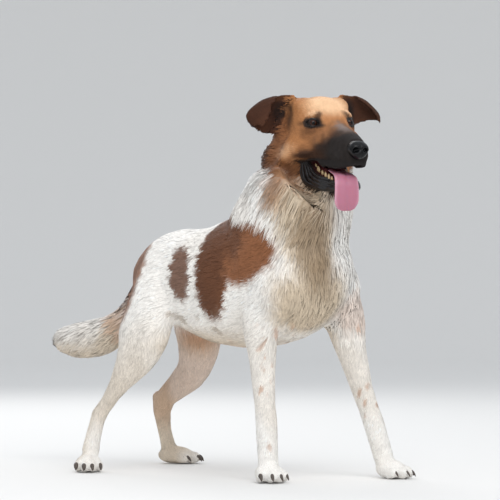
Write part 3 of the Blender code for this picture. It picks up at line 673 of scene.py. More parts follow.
def face_colours(points, hues, rough, broad, fine, lips):
    """The hair's colours on the head: tan, with a black muzzle, black lips and black round the eyes."""
    head = head_places(points)
    fore, _, high = head.T
    jag = shifted(head, [fine, rough, fine], 0.35)
    face = np.tile(hues["tan"], (len(points), 1))

    def mark(name, mask):
        nonlocal face
        face = over(face, hues[name], mask)

    # Gold on the forehead, partly the hair's own paler colour and partly painted light on the top of the
    # head; redder and darker towards the nape, with dark streaks on the cheeks.
    face = over_patches(face, jag, FOREHEAD, hues)
    mark("rust", 0.75 * fade(-3.5, -7.5, fore) * fade(3.5, 1.0, high))
    mark("rust", 0.55 * fade(-4.5, -9.0, fore))
    mark("brown", 0.85 * fade(-8.6, -11.0, fore + 0.5 * broad) * fade(3.5, 1.0, high))
    mark("brown", 0.6 * fade(-10.0, -12.5, fore))
    face = over_patches(face, jag, CHEEKS, hues)
    streaks = wobble(points * np.array([1, 1, 0.45]), 0.010, 9)
    mark("brown", 0.25 * fade(0.2, 0.9, streaks) * fade(1.5, -0.5, high))

    # The dark mask of the muzzle, greyer along its bridge: partly greyed hair and partly a painted highlight
    # along the top of the bridge.
    mask = fade(1.0, 6.0, fore - 0.35 * (high + 4.5) + 0.5 * broad)
    mark("black", 0.92 * mask)
    face = over_patches(face, jag, BRIDGE, hues)
    mark("grey", 0.30 * fade(0.0, 0.8, fine) * fade(2.5, 4.0, fore) * fade(-3.0, -4.5, high))
    mark("brown", 0.35 * fade(-0.2, 0.6, rough) * mask * fade(9.5, 6.0, fore))
    face = over_patches(face, jag, UNDER_EYES, hues)

    # The mask runs back over the lips to the corner of the mouth.
    slope = high - 0.30 * fore
    mark("black", 0.9 * fade(-4.3, -5.7, slope + 0.25 * rough) * fade(-3.2, -1.4, fore) * (high > -10))
    mark("brown", 0.4 * fade(-2.9, -4.5, slope + 0.4 * rough) * fade(-3.4, -0.8, fore) * (1 - mask))

    # Cream hair under the jaw, and black skin round the open mouth.
    mark("cream", 0.8 * fade(-0.2, -1.2, high - lip_floor(fore)) * fade(-6, -4, fore))
    mark("black", 0.98 * lips)

    # Black round the eyes and up to the inner brow, with a pale spot over each.
    for name, sign in SIDES.items():
        mark("gold", 0.7 * patch(jag, (0.4, sign * 3.9, 1.9), (1.6, 1.0, 0.5), 0.5))
        eye = shifted(eye_places(points, name), [fine, rough, fine * 0], 0.12)
        face = over_patches(face, eye, ROUND_EYE, hues)
    return face


def with_ears(face, points, hues, rough, broad, ear):
    """The head's colours with the ears': dark outside, redder by the head partly as a painted highlight on
    the crest of the fold, and black painted shade in the hollow and at the ear's root.
    """
    head = head_places(points)
    fore, side, high = head.T
    wide = np.abs(side)
    # Redder on the top of each ear near the head: partly the hair's own colour and partly a painted highlight
    # on the crest of the fold. Also redder in random patches further out, and low on the left ear.
    reddish = fade(4.6, 5.6, high) * fade(9.5, 7.0, wide) + 0.45 * fade(0.1, 0.9, broad) * fade(8, 10, wide)
    reddish = reddish * 0.5 + 0.4 * fade(2.0, 0.0, high) * (side > 0)
    ears = np.tile(hues["brown"], (len(points), 1))
    ears = over(ears, 0.55 * hues["rust"] + 0.45 * hues["brown"], reddish)
    # Black painted shade in the hollow under the ear's fold.
    ears = over(ears, 0.6 * hues["black"], 0.9 * patch(mirrored(head), *EAR_HOLLOW_SHADE))
    root = fade(5.3, 6.0, wide + 0.3 * rough - 0.25 * np.maximum(4.0 - high, 0)) * fade(-2.6, -1.0, high)
    root = root * fade(-4.4, -5.4, fore)
    share = np.maximum(ear * fade(5.0, 6.2, wide + 0.4 * rough), root)
    face = over(face, ears, share)
    # Black painted shade on the head at the root of each ear, under its fold.
    return over(face, hues["black"], 0.8 * (1 - share) * patch(mirrored(head), *EAR_BASE_SHADE))


def hair_colours(points, ear):
    """The hair's colour at each point, laid on patch by patch. ear is 0 to 1 for what belongs to an ear."""
    hues = colours()
    head = head_places(points)
    fore, side, high = head.T
    rough = wobble(points, 0.014, 1)
    broad = wobble(points, 0.06, 2)
    fine = wobble(points, 0.006, 3)
    lips = lip_band(fore, high) * (np.abs(side) < LIPS_OUT)
    face = face_colours(points, hues, rough, broad, fine, lips)
    face = with_ears(face, points, hues, rough, broad, ear)
    # The head's colours end at a line from the nape to under the jaw.
    line = high + 8.2 + 0.39 * (fore + 10) + 0.9 * rough + 0.6 * broad
    on_face = np.maximum(np.maximum(fade(-0.9, 0.9, line), ear), lips)
    colour = over(body_colours(points, hues, rough, broad, fine), face, on_face)
    # Tan locks that run down from the cheek over the white of the neck.
    for sign in (-1, 1):
        ragged = shifted(head, [rough, fine, rough * 0], 0.6)
        lock = patch(ragged, (-5.2, sign * 10.2, -11.6), LOCK_RADII, 0.4, -20)
        colour = over(colour, 0.5 * hues["rust"] + 0.5 * hues["ash"], 0.7 * lock)
    return colour


# ---------------------------------------------------------------- the skin


def flesh_tree(names):
    """A search tree over the faces of these nodes, and which node each face belongs to."""
    points, faces, owner = [], [], []
    for k, name in enumerate(names):
        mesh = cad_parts[name].data
        start = len(points)
        points += [v.co.copy() for v in mesh.vertices]
        faces += [[start + i for i in face.vertices] for face in mesh.polygons]
        owner += [k] * len(mesh.polygons)
    return BVHTree.FromPolygons(points, faces), np.array(owner)


def regions(points):
    """For each point, the flesh node nearest to it."""
    tree, owner = flesh_tree(FLESH)
    return owner[[tree.find_nearest(Vector(p))[2] for p in points]]


FLEWS = (
    # The hanging edge of the upper lip: ahead, out and up, then its half thickness and half height.
    (-0.6, 3.7, -6.5, 0.30, 0.35), (0.4, 3.55, -6.75, 0.42, 0.6), (1.7, 3.15, -7.45, 0.5, 0.75),
    (3.2, 2.85, -8.0, 0.5, 0.8), (5.0, 2.55, -8.35, 0.5, 0.8), (7.0, 2.3, -8.5, 0.5, 0.75),
    (9.0, 1.9, -8.5, 0.5, 0.7), (10.6, 1.2, -8.3, 0.5, 0.6), (11.0, 0.3, -8.2, 0.4, 0.5),
)


def make_flews():
    """The hanging edges of the upper lip on both sides."""
    shell = Shell()
    rows = curve_through(FLEWS, 4)
    for sign in (-1, 1):
        places = [on_head(row[0], sign * row[1], row[2]) for row in rows]
        shell.tube(places, HEAD_LEFT, [row[3] * CM for row in rows], [row[4] * CM for row in rows], 12)
    return shell.mesh("flews")


def cast():
    """The flesh, eyes and nose run together into one closed surface of even cells."""
    work = bmesh.new()
    for name in FLESH + BARE_NODES:
        work.from_mesh(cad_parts[name].data)
    work.from_mesh(make_flews())
    mesh = bpy.data.meshes.new("cast")
    work.to_mesh(mesh)
    work.free()
    block = bpy.data.objects.new("cast", mesh)
    bpy.context.scene.collection.objects.link(block)
    modifier = block.modifiers.new("cells", "REMESH")
    modifier.mode = "VOXEL"
    modifier.voxel_size = bpy.context.scene.dog_coat.voxel
    made = evaluated(block)
    bpy.data.objects.remove(block)
    return made


# Between the lips, what lies this far out from the head's middle is drawn in to the first of the two.
CHEEK_IN = 2.2
CHEEK_OUT = 6


def open_mouth(points):
    """Draws the cheek in behind the rim of the lips, back to the corner of the mouth."""
    head = head_places(points)
    fore, side, high = head.T
    share = mouth_gap(fore, high) * (np.abs(side) > CHEEK_IN) * (np.abs(side) < CHEEK_OUT)
    moved = head.copy()
    moved[:, 1] = side * (1 - share) + np.sign(side) * CHEEK_IN * share
    return points + (moved - head) * CM @ HEAD_AXES


# Lines of the mouth, each as how far ahead and how high, or how far out, in centimetres on the head.
GAP_TOP = ((-3.1, -1.5, 0.3, 1.5, 3.2), (-7.0, -6.85, -7.1, -8.25, -9.0))
GAP_BOTTOM = ((-3.1, -2.2, -1.6, -0.4, 0.8, 2.4), (-7.1, -8.0, -9.0, -9.7, -10.1, -10.8))
LIP_FLOOR = ((-5.2, -4.5, -2.9, 1.0, 4.4, 8.6), (-8.6, -10.8, -11.9, -12.8, -13.2, -13.3))
ROOF_OUT = ((-2.4, -1.2, 0.6, 3.0, 6.0, 9.0, 10.2), (2.2, 3.0, 2.9, 2.3, 1.9, 1.4, 0.8))


def mouth_gap(fore, high):
    """1 between the lips behind the cheek teeth and 0 outside them."""
    inside = np.minimum(np.interp(fore, *GAP_TOP) - high, high - np.interp(fore, *GAP_BOTTOM))
    return fade(0.0, 0.35, inside) * fade(3.4, 2.6, fore)


def lip_floor(fore):
    """How low the black skin of the lower lip reaches, from how far ahead it is. In centimetres."""
    return np.interp(fore, *LIP_FLOOR)


def lip_band(fore, high):
    """1 on the bare black skin round the open mouth and 0 on the hair behind and below it."""
    band = fade(-0.30, 0.0, high - lip_floor(fore)) * fade(-4.9, -4.5, fore)
    return band * fade(-6.2, -6.9, high + 0.12 * fade(0, 3, fore) * fore)


def by_region(table, region):
    """Picks each point's value from a table of node names, where a name without its side will do."""
    values = [table.get(name, table.get(name.rsplit("_", 1)[0])) for name in FLESH]
    return np.array(values, float)[region]


def among(region, names):
    """Whether each point belongs to one of these nodes."""
    return np.isin(region, [FLESH.index(name) for name in names])


# How far the coat stands over the skin, in millimetres.
COAT_DEPTH = {
    "trunk": 2.3, "neck": 4.6, "tail": 6.5, "head": 3, "lower_jaw": 1.4, "ear": 1.0,
    "fore_leg": 1.8, "hind_leg": 2.0, "fore_paw": 1.1, "hind_paw": 1.1,
}


# Where the chest's coat is deepest, and where it is longest, in metres from under the loin.
CHEST_DEEP = ((0.48, 0, 0.44), (0.08, 0.12, 0.18), 0.5)
CHEST_LONG = ((0.48, 0, 0.46), (0.09, 0.12, 0.18), 0.5)
# Where the ruff stands out, in centimetres on the head, and by how much.
RUFF = ((-10.5, 8.5, -7.5), (3.2, 3.5, 4.5), 0.5)
RUFF_STAND = 8 * MM


def coat_depth(points, region):
    """How far the coat stands over the skin, in metres: least on the face, most on the chest."""
    body = body_places(points)
    fore = head_places(points)[:, 0]
    over_face = 0.7 + 0.6 * fade(4, -1, fore) + 4.5 * fade(-4.5, -10, fore)
    depth = np.where(among(region, ("head",)), over_face, by_region(COAT_DEPTH, region))
    is_leg = among(region, LEGS)
    depth = depth + np.where(is_leg, 1.0 * fade(0.20, 0.30, body[:, 2]), 0)
    chest = patch(body, *CHEST_DEEP)
    return (depth + 3.5 * chest * ~is_leg) * MM


def refine(mesh, keep):
    """Splits the faces round the points that are kept."""
    work = bmesh.new()
    work.from_mesh(mesh)
    work.verts.ensure_lookup_table()
    chosen = [edge for edge in work.edges if keep[edge.verts[0].index] and keep[edge.verts[1].index]]
    bmesh.ops.subdivide_edges(work, edges=chosen, cuts=1, use_grid_fill=True, smooth=0.0)
    bmesh.ops.triangulate(work, faces=[face for face in work.faces if len(face.verts) > 4])
    work.to_mesh(mesh)
    work.free()


def eye_axes(side):
    """An eye's own directions: towards the nose, up, and out of the head."""
    sign = SIDES[side]
    turn = math.radians(EYE_TURN)
    out = HEAD_AHEAD * math.cos(turn) + HEAD_LEFT * (sign * math.sin(turn)) + HEAD_UP * 0.10
    out.normalize()
    inward = (HEAD_AHEAD * math.sin(turn) - HEAD_LEFT * (sign * math.cos(turn))).normalized()
    up = inward.cross(out) * -sign
    if up.dot(HEAD_UP) < 0:
        up.negate()
    tilt = math.radians(EYE_TILT)
    inward_tilted = inward * math.cos(tilt) - up * math.sin(tilt)
    up_tilted = up * math.cos(tilt) + inward * math.sin(tilt)
    return np.array([inward_tilted, up_tilted, out])


def almond(x, y):
    """1 on the edge of the opening between the lids, and less inside it. In centimetres."""
    tall = np.where(y > 0, LID_UP, LID_DOWN)
    corner = 1 + 0.16 * fade(0.2, 1.0, x / LID_HALF)
    return (np.abs(x) / (LID_HALF * corner)) ** 2.1 + (np.abs(y) / tall) ** 1.25


# The lids lie on the ball as far out as the first of these from its middle, and end at the second.
LIDS_FULL = 1.0
LIDS_END = 1.95
# Folds of the lids: where each lies, by the almond's measure, how broad, how high, and on which lid.
LID_FOLDS = ((2.6, 0.7, 0.09, 1), (2.2, 0.5, -0.05, 1), (2.6, 0.7, -0.04, -1))


def open_lids(points):
    """Draws the skin back from each eye inside its opening, and lays lids on the ball around it."""
    ball = EYE_RADIUS / CM
    for side in SIDES:
        x, y, out = eye_places(points, side).T
        far = np.hypot(x, y)
        near = (far < 2.4) & (out > -0.6)
        rim = almond(x, y)
        on_ball = np.sqrt(np.maximum((ball + LID_OVER) ** 2 - far**2, 0.30))
        share = fade(LIDS_END, LIDS_FULL, far)
        level = out * (1 - share) + on_ball * share
        for at, broad, high, lid in LID_FOLDS:
            level = level + high * np.exp(-(((rim - at) / broad) ** 2)) * (y * lid > 0) * share
        sunk = np.sqrt(np.maximum((ball - 0.22) ** 2 - far**2, 0.01))
        new = np.where(near & (rim < 1), np.minimum(out, sunk), np.where(near, level, out))
        shift = (new - out)[:, None] * eye_axes(side)[2][None, :] * CM
        points = points + np.where(near[:, None], shift, 0)
    return points


# The ruff meets the neck in a crease, evened out so that the skin under the long hair doesn't fold.
CREASE = ((-5.5, 9.0, -11.5), (6.5, 6.5, 7.0), 0.4)
# The skin is never sunk deeper than this, in millimetres, where the dog is thin.
THIN = {"ear": 1.5, "fore_paw": 2.0, "hind_paw": 2.0, "lower_jaw": 2.2}
SINK_STEPS = 4
# The corner of the mouth, and how far round it the skin's cells are fine.
MOUTH_CORNER = (1.4, 3.6, 8.4)
MOUTH_CORNER_REACH = 2.6


def make_skin():
    """The cast sunk by the coat's depth, with finer cells on the face, open lids and an open mouth."""
    mesh = cast()
    relax(mesh, 24)
    relax(mesh, 80, patch(mirrored(head_places(points_of(mesh))), *CREASE))
    points = points_of(mesh)
    region = regions(points)
    edges = edges_of(mesh)
    deep = spread(coat_depth(points, region), edges, 50)[:, 0]
    thin = by_region(THIN, region)
    thin = np.where(np.isnan(thin), 99, thin) * MM
    deep = spread(np.minimum(deep, thin), edges, 6)[:, 0]
    for _ in range(SINK_STEPS):
        set_points(mesh, points_of(mesh) - normals_of(mesh) * (deep / SINK_STEPS)[:, None])
        relax(mesh, 2)

    # Finer cells on the face, and finer still round the eyes and at the corners of the mouth.
    head = head_places(points_of(mesh))
    face = (head[:, 0] > -3.5) & (head[:, 2] > -14) & (head[:, 2] < 4)
    refine(mesh, face & (np.abs(head[:, 1]) < 7))
    relax(mesh, 6)
    points = points_of(mesh)
    round_eye = np.zeros(len(points), bool)
    for side in SIDES:
        round_eye |= np.linalg.norm(points - np.array(EYE_AT[side]), axis=1) < 2.0 * CM
    refine(mesh, round_eye)
    relax(mesh, 4)
    head = head_places(points_of(mesh))
    corner = np.linalg.norm(np.abs(head) - np.array(MOUTH_CORNER), axis=1) < MOUTH_CORNER_REACH
    refine(mesh, corner & (head[:, 0] < MOUTH_CORNER[0]) & (head[:, 2] < 0))
    set_points(mesh, open_mouth(open_lids(points_of(mesh))))
    set_points(mesh, make_room_for_nose(points_of(mesh)))
    mesh.name = "skin"
    return mesh


# How far ahead the skin starts to shrink under the nose and is fully shrunk, and to what shares.
NOSE_EDGE = (10.4, 11.3)
NOSE_SHRINK = (0.35, 0.74, 0.74)


def make_room_for_nose(points):
    """Draws the skin in under the nose leather."""
    head = head_places(points)
    share = fade(*NOSE_EDGE, head[:, 0])[:, None]
    centre = np.array([NOSE_AHEAD, NOSE_LEFT, NOSE_UP])
    inside = centre + (head - centre) * np.array(NOSE_SHRINK)
    moved = head * (1 - share) + inside * share
    return points + (moved - head) * CM @ HEAD_AXES


def unwrap(mesh, holder):
    """Lays the skin out flat in patches by its own shape."""
    bpy.context.view_layer.objects.active = holder
    holder.select_set(True)
    bpy.ops.object.mode_set(mode="EDIT")
    bpy.ops.mesh.select_all(action="SELECT")
    bpy.ops.uv.smart_project(angle_limit=math.radians(66), island_margin=0.002)
    bpy.ops.object.mode_set(mode="OBJECT")
    holder.select_set(False)
    mesh.uv_layers[0].name = "OFBake"


# ---------------------------------------------------------------- the coat

# What the coat and the lips need to know at each point of the skin, filled in once it is grown.
SKIN = {}

# The length of a tuft in millimetres, how far it stands up as a share of the coat's depth, and its width.
TUFT_LENGTH = {
    "trunk": 18, "neck": 30, "tail": 42, "head": 8, "lower_jaw": 6, "ear": 7,
    "fore_leg": 10, "hind_leg": 11, "fore_paw": 7, "hind_paw": 7,
}
TUFT_STAND = {
    "trunk": 0.60, "neck": 0.60, "tail": 0.80, "head": 0.55, "lower_jaw": 0.6, "ear": 0.55,
    "fore_leg": 0.5, "hind_leg": 0.5, "fore_paw": 0.55, "hind_paw": 0.55,
}
TUFT_WIDTH = {
    "trunk": 2.1, "neck": 1.9, "tail": 2.2, "head": 1.0, "lower_jaw": 1.0, "ear": 1.1,
    "fore_leg": 1.7, "hind_leg": 1.8, "fore_paw": 1.3, "hind_paw": 1.3,
}


def tuft_sizes(points, region):
    """Each point's tuft length and width, in metres."""
    body = body_places(points)
    fore = head_places(points)[:, 0]
    back = fade(-4.0, -10, fore)
    is_head = among(region, ("head",))
    length = np.where(is_head, 4.2 + 2.8 * fade(5, -2, fore) + 17 * back, by_region(TUFT_LENGTH, region))
    width = np.where(is_head, 0.75 + 0.25 * fade(5, -2, fore) + 0.8 * back, by_region(TUFT_WIDTH, region))
    is_leg = among(region, LEGS)
    high = fade(0.19, 0.30, body[:, 2]) * is_leg
    chest = patch(body, *CHEST_LONG) * ~is_leg
    length = length + 6 * high + 12 * chest
    width = width + 0.2 * high + 0.3 * chest
    return length * MM, width * MM


def ends_of(node, way):
    """The middles of a node's two ends along a direction: the near one and the far one."""
    points = points_of(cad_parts[node].data)
    reach = points @ np.array(way)
    low, high = np.quantile(reach, (0.08, 0.92))
    return points[reach <= low].mean(axis=0), points[reach >= high].mean(axis=0)


def lie(points, region):
    """Which way the hair lies at each point."""
    head = head_places(points)
    ahead, left, up = body_places(points).T
    way = np.zeros((len(points), 3))

    def body_way(forward, outward, rise):
        rows = np.zeros((len(points), 3))
        rows[:, 0] = outward * np.sign(left)
        rows[:, 1] = -forward
        rows[:, 2] = rise
        return rows

    chest = fade(0.37, 0.45, ahead)
    haunch = fade(0.10, 0.02, ahead)
    low = fade(0.42, 0.30, up)
    drop = -0.25 - 0.9 * chest - 0.75 * haunch - 0.15 * low
    tail_root, tail_tip = ends_of("tail", (0, 1, 0))
    # On the face the hair runs back from a place in front of the nose.
    from_nose = head - np.array([13.0, 0, -5.5])
    from_nose[:, 2] -= 3.0 * fade(0, -6, head[:, 2])
    ways = {
        "trunk": body_way(-1 + 0.9 * chest + 0.45 * haunch, 0.05 * chest, drop),
        "neck": body_way(-0.45, 0.0, -0.9),
        "tail": np.tile(tail_tip - tail_root, (len(points), 1)),
        "head": from_nose @ HEAD_AXES,
        "lower_jaw": np.tile(-np.array(HEAD_AHEAD) - 0.15 * np.array(HEAD_UP), (len(points), 1)),
    }
    ways.update({name: body_way(-0.22, 0, -1) for name in LEGS})
    ways.update({name: body_way(0.75, 0, -0.75) for name in PAWS})
    for side, sign in SIDES.items():
        root, tip = ends_of("ear_" + side, HEAD_LEFT * sign)
        ways["ear_" + side] = points - (root - (tip - root) * 0.8)
    for k, name in enumerate(FLESH):
        way = np.where((region == k)[:, None], unit(ways[name]), way)
    return way


def along_surface(way, normals):
    """Directions laid along the surface, or left a little raised where they point nearly straight out."""
    flat = way - normals * (way * normals).sum(axis=1)[:, None]
    steep = fade(0.5, 0.15, np.linalg.norm(flat, axis=1) / np.maximum(np.linalg.norm(way, axis=1), 1e-9))
    return unit(flat + way * steep[:, None])


def face_data(mesh):
    """The mesh as triangles: their points, their corners and their areas."""
    mesh.calc_loop_triangles()
    corners = read(mesh.loop_triangles, "vertices", 3, np.int32)
    loops = read(mesh.loop_triangles, "loops", 3, np.int32)
    points = points_of(mesh)
    a, b, c = (points[corners[:, k]] for k in range(3))
    return corners, loops, np.linalg.norm(np.cross(b - a, c - a), axis=1) / 2


TUFT_SHAPES = {
    # Rings of a tuft: how far along it each lies, its width and how high it stands, as shares.
    "short": ((0.0, 0.8, -0.05), (0.5, 1.0, 0.80)),
    "long": ((0.0, 0.7, -0.05), (0.35, 1.0, 0.66), (0.72, 0.72, 0.96)),
}
# How high the tip stays, as a share of how high the tuft stands.
TUFT_TIP = {"short": 0.5, "long": 0.62}
# How high a tuft's ridge stands over its edges, as a share of its half width.
TUFT_RIDGE = 0.2
# How many times over the tufts cover the skin.
COVER = 2.05
PIECE_TRIANGLES = 190_000


def step_along(stations, length, reach, tree):
    """The next station of each tuft: a step along the skin, brought back down to it."""
    at, normal, way = stations[-1]
    ahead = at + way * (length * reach)[:, None]
    hits = [tree.find_nearest(Vector(place)) for place in ahead]
    spot = np.array([tuple(hit[0]) for hit in hits])
    rise = np.array([tuple(hit[1]) for hit in hits])
    # Where the surface ends, as at the tip of the tail, the hair runs on in the air.
    away = np.linalg.norm(ahead - spot, axis=1) / (length * reach)
    free = fade(0.45, 0.8, away)[:, None]
    spot = spot * (1 - 0.5 * free) + ahead * 0.5 * free
    rise = unit(0.35 * normal + 0.65 * rise * (1 - free))
    return spot, rise, along_surface(way, rise)


def tuft_faces(rings, count):
    """The triangles of all the tufts: a closed foot, three sides between the rings, and a tip."""
    faces = [(0, 2, 1)]
    for foot in range(0, (rings - 1) * 3, 3):
        for i in range(3):
            a = foot + i
            b = foot + (i + 1) % 3
            faces += [(a, b, b + 3), (a, b + 3, a + 3)]
    last = (rings - 1) * 3
    faces += [(last + i, last + (i + 1) % 3, last + 3) for i in range(3)]
    starts = np.arange(count) * (last + 4)
    return (np.array(faces)[None] + starts[:, None, None]).reshape(-1, 3)


def grow(shape, seeds, tree):
    """Points, faces, colours, flat places and facings of a coat piece whose tufts stand at the seeds."""
    rings = TUFT_SHAPES[shape]
    rng = np.random.default_rng(seeds["number"])
    count = len(seeds["root"])
    width = seeds["width"]
    stations = [(seeds["root"], seeds["normal"], seeds["way"])]
    ends = [ring[0] for ring in rings] + [1.0]
    for start, end in zip(ends, ends[1:]):
        stations.append(step_along(stations, seeds["length"], end - start, tree))
    lift = seeds["depth"] * (0.72 + 0.28 * rng.random(count)) * seeds["stand"]
    points = np.empty((count, len(rings) * 3 + 1, 3))
    facing = np.empty_like(points)
    for ring, (_, wide, high) in enumerate(rings):
        at, normal, way = stations[ring]
        side = np.cross(way, normal)
        half = (width * wide / 2)[:, None]
        base = at + normal * (lift * high)[:, None]
        points[:, ring * 3] = base + side * half
        points[:, ring * 3 + 1] = base - side * half
        points[:, ring * 3 + 2] = base + normal * half * TUFT_RIDGE
        facing[:, ring * 3] = unit(normal + 0.35 * side)
        facing[:, ring * 3 + 1] = unit(normal - 0.35 * side)
        facing[:, ring * 3 + 2] = normal
    at, normal, way = stations[-1]
    aside = np.cross(way, normal) * (width * rng.normal(0, 0.5, count))[:, None]
    points[:, -1] = at + normal * (lift * TUFT_TIP[shape])[:, None] + aside
    facing[:, -1] = normal

    # Each tuft has its own shade, and is a little paler towards its tip.
    shade = np.exp(rng.normal(0, 0.07, count))[:, None, None] * seeds["shade"][:, None, None]
    along = np.repeat(ends, [3] * len(rings) + [1])
    colours = seeds["colour"][:, None, :] * shade * (0.96 + 0.08 * along)[None, :, None]
    spot = np.array([(0.0, 0.0), (1.0, 0.0), (0.5, 1.0)] * len(rings) + [(0.5, 0.5)]) * 0.003
    flat = seeds["uv"][:, None, :] + spot[None]
    return (
        points.reshape(-1, 3),
        tuft_faces(len(rings), count),
        np.clip(colours, 0, 1).reshape(-1, 3),
        flat.reshape(-1, 2),
        facing.reshape(-1, 3),
    )


def plant(mesh, amount, chooser, number):
    """Picks roots over the skin so that tufts cover it evenly, and gathers what each one needs to know."""
    rng = np.random.default_rng(number)
    corners, loops, area = face_data(mesh)
    cover = 1 / np.maximum(SKIN["length"] * SKIN["width"] * 0.5, 1e-9) * SKIN["growth"]
    weight = area * cover[corners].mean(axis=1) * chooser[corners[:, 0]]
    count = int(weight.sum() * amount)
    picked = rng.choice(len(area), count, p=weight / weight.sum())
    shares = rng.dirichlet((1, 1, 1), count)

    def mixed(values):
        rows = values.reshape(len(values), -1)[corners[picked]]
        out = (rows * shares[:, :, None]).sum(axis=1)
        return out if values.ndim > 1 else out[:, 0]

    normal = unit(mixed(SKIN["normal"]))
    way = along_surface(mixed(SKIN["way"]) + rng.normal(0, 0.10, (count, 3)), normal)
    flat = read(mesh.uv_layers[0].uv, "vector", 2, np.float32)
    root = mixed(SKIN["point"])
    clump = wobble(root, 0.012, 31) * 0.5 + wobble(root, 0.030, 32) * 0.5
    return {
        "number": number,
        "root": root,
        "normal": normal,
        "way": way,
        "length": mixed(SKIN["length"]) * rng.uniform(0.75, 1.2, count),
        "width": mixed(SKIN["width"]) * rng.uniform(0.75, 1.25, count),
        "depth": mixed(SKIN["depth"]),
        "colour": mixed(SKIN["colour"]),
        "shade": 1 + 0.05 * clump,
        "stand": 1 + 0.12 * clump,
        "uv": (flat[loops[picked]] * shares[:, :, None]).sum(axis=1),
    }


# How many rounds the tufts' sizes, their ways and the ears' edge are evened out over the skin.
SIZE_ROUNDS = 30
WAY_ROUNDS = 40
EAR_ROUNDS = 4
SWIRL_SIZE = 0.035
SWIRL_SHARE = 0.16
MOUTH_RED = "#4c1a1c"


def survey(mesh):
    """Fills in what the coat needs to know at each point of the skin."""
    points = points_of(mesh)
    normals = normals_of(mesh)
    edges = edges_of(mesh)
    region = regions(points)
    tree = flesh_tree(FLESH + BARE_NODES)[0]
    gap = np.array([tree.find_nearest(Vector(place))[3] for place in points])
    sizes = spread(np.stack(tuft_sizes(points, region), axis=1), edges, SIZE_ROUNDS)
    ear = spread(among(region, ("ear_right", "ear_left")), edges, EAR_ROUNDS)[:, 0]
    way = along_surface(spread(lie(points, region), edges, WAY_ROUNDS), normals)
    swirl = np.stack([wobble(points, SWIRL_SIZE, seed) for seed in (41, 42, 43)], axis=1)
    deepest = 1.3 * spread(coat_depth(points, region), edges, SIZE_ROUNDS)[:, 0]
    wet = in_mouth(points, normals, region)
    SKIN.update(
        face=[tuple(face.vertices) for face in mesh.polygons],
        point=points,
        normal=normals,
        way=along_surface(way + SWIRL_SHARE * swirl, normals),
        length=sizes[:, 0],
        width=sizes[:, 1],
        depth=np.clip(gap, 0.8 * MM, deepest) * sleek(points, region) + shaggy(points),
        colour=over(hair_colours(points, ear), np.array(linear(MOUTH_RED)), wet),
        growth=bare(points, normals, region),
    )


def sleek(points, region):
    """How far the tufts stand up, as a share of the coat's depth: least where the hair is short."""
    on_scalp = 0.55 + 0.2 * fade(-4, -9, head_places(points)[:, 0])
    return np.where(among(region, ("head",)), on_scalp, by_region(TUFT_STAND, region))


def shaggy(points):
    """How much further the ruff's hair stands out behind and below the cheeks, in metres."""
    return RUFF_STAND * patch(mirrored(head_places(points)), *RUFF)


def bare(points, normals, region):
    """1 where hair grows and 0 on the lips, the lids, the nose and inside the mouth."""
    fore, side, high = head_places(points).T
    growth = 1 - fade(10.6, 11.2, fore)
    for name in SIDES:
        x, y, out = eye_places(points, name).T
        growth *= np.where(out > -0.3, fade(1.15, 1.8, almond(x, y)), 1)
    growth *= body_places(points)[:, 2] > 0.0035
    growth *= 1 - lip_band(fore, high - 0.35) * (np.abs(side) < LIPS_OUT)
    return growth * (1 - fade(0.1, 0.5, in_mouth(points, normals, region)))


def in_mouth(points, normals, region):
    """1 on the floor and the roof of the mouth and between the cheeks, and 0 elsewhere."""
    fore, side, high = head_places(points).T
    wide = np.abs(side)
    rise = normals @ HEAD_AXES[2]
    floor = among(region, ("lower_jaw",)) * fade(0.2, 0.6, rise) * fade(2.9, 2.4, wide)
    in_teeth = fade(0.1, -0.3, wide - np.interp(fore, *ROOF_OUT))
    roof = among(region, ("head",)) * fade(-0.1, -0.4, rise) * (high < -6) * in_teeth
    within = fade(-4.5, -3.0, fore) * fade(10.2, 9.5, fore)
    return np.maximum(np.maximum(floor, roof) * within, mouth_gap(fore, high) * fade(3.6, 2.9, wide))


# ---------------------------------------------------------------- eyes, nose, mouth and claws


# Where each eye looks: ahead, outwards and up.
LOOK = (1.0, 0.30, 0.02)
# The clear cornea bulges by this share of the ball's radius, inside this angle from the look.
CORNEA = 0.035
CORNEA_EDGE = 0.62
# Rings of the eye's colour: hex colour, then the angles where it starts and is full.
EYE_RINGS = (("#160b07", 0.80, 0.72), ("#3d1e10", 0.66, 0.56), ("#0b0807", 0.42, 0.35))
EYE_WHITE = "#2a1f1b"


def make_eyeball(side):
    """The ball turned to where the eye looks, with a slight bulge of clear cornea in front."""
    ahead, outward, up = LOOK
    look = (HEAD_AHEAD * ahead + HEAD_LEFT * (SIDES[side] * outward) + HEAD_UP * up).normalized()
    rise = (HEAD_UP - look * HEAD_UP.dot(look)).normalized()
    across = rise.cross(look)
    rings = []
    steps, count = 40, 48
    angles = [math.pi * k / steps for k in range(1, steps)]
    for angle in angles:
        radius = EYE_RADIUS * (1 + CORNEA * float(fade(CORNEA_EDGE, 0.25, np.array(angle))))
        ring = []
        for turn in turns(count):
            out = look * math.cos(angle) + (across * math.cos(turn) + rise * math.sin(turn)) * math.sin(angle)
            ring.append(EYE_AT[side] + out * radius)
        rings.append(ring)
    mesh = shell_of("eyeball_" + side, rings)
    angle = np.repeat(angles, count)
    tint = np.tile(np.array(linear(EYE_WHITE)), (len(angle), 1))
    for colour, start, full in EYE_RINGS:
        tint = over(tint, np.array(linear(colour)), fade(start, full, angle))
    paint(mesh, "tint", tint)
    return mesh


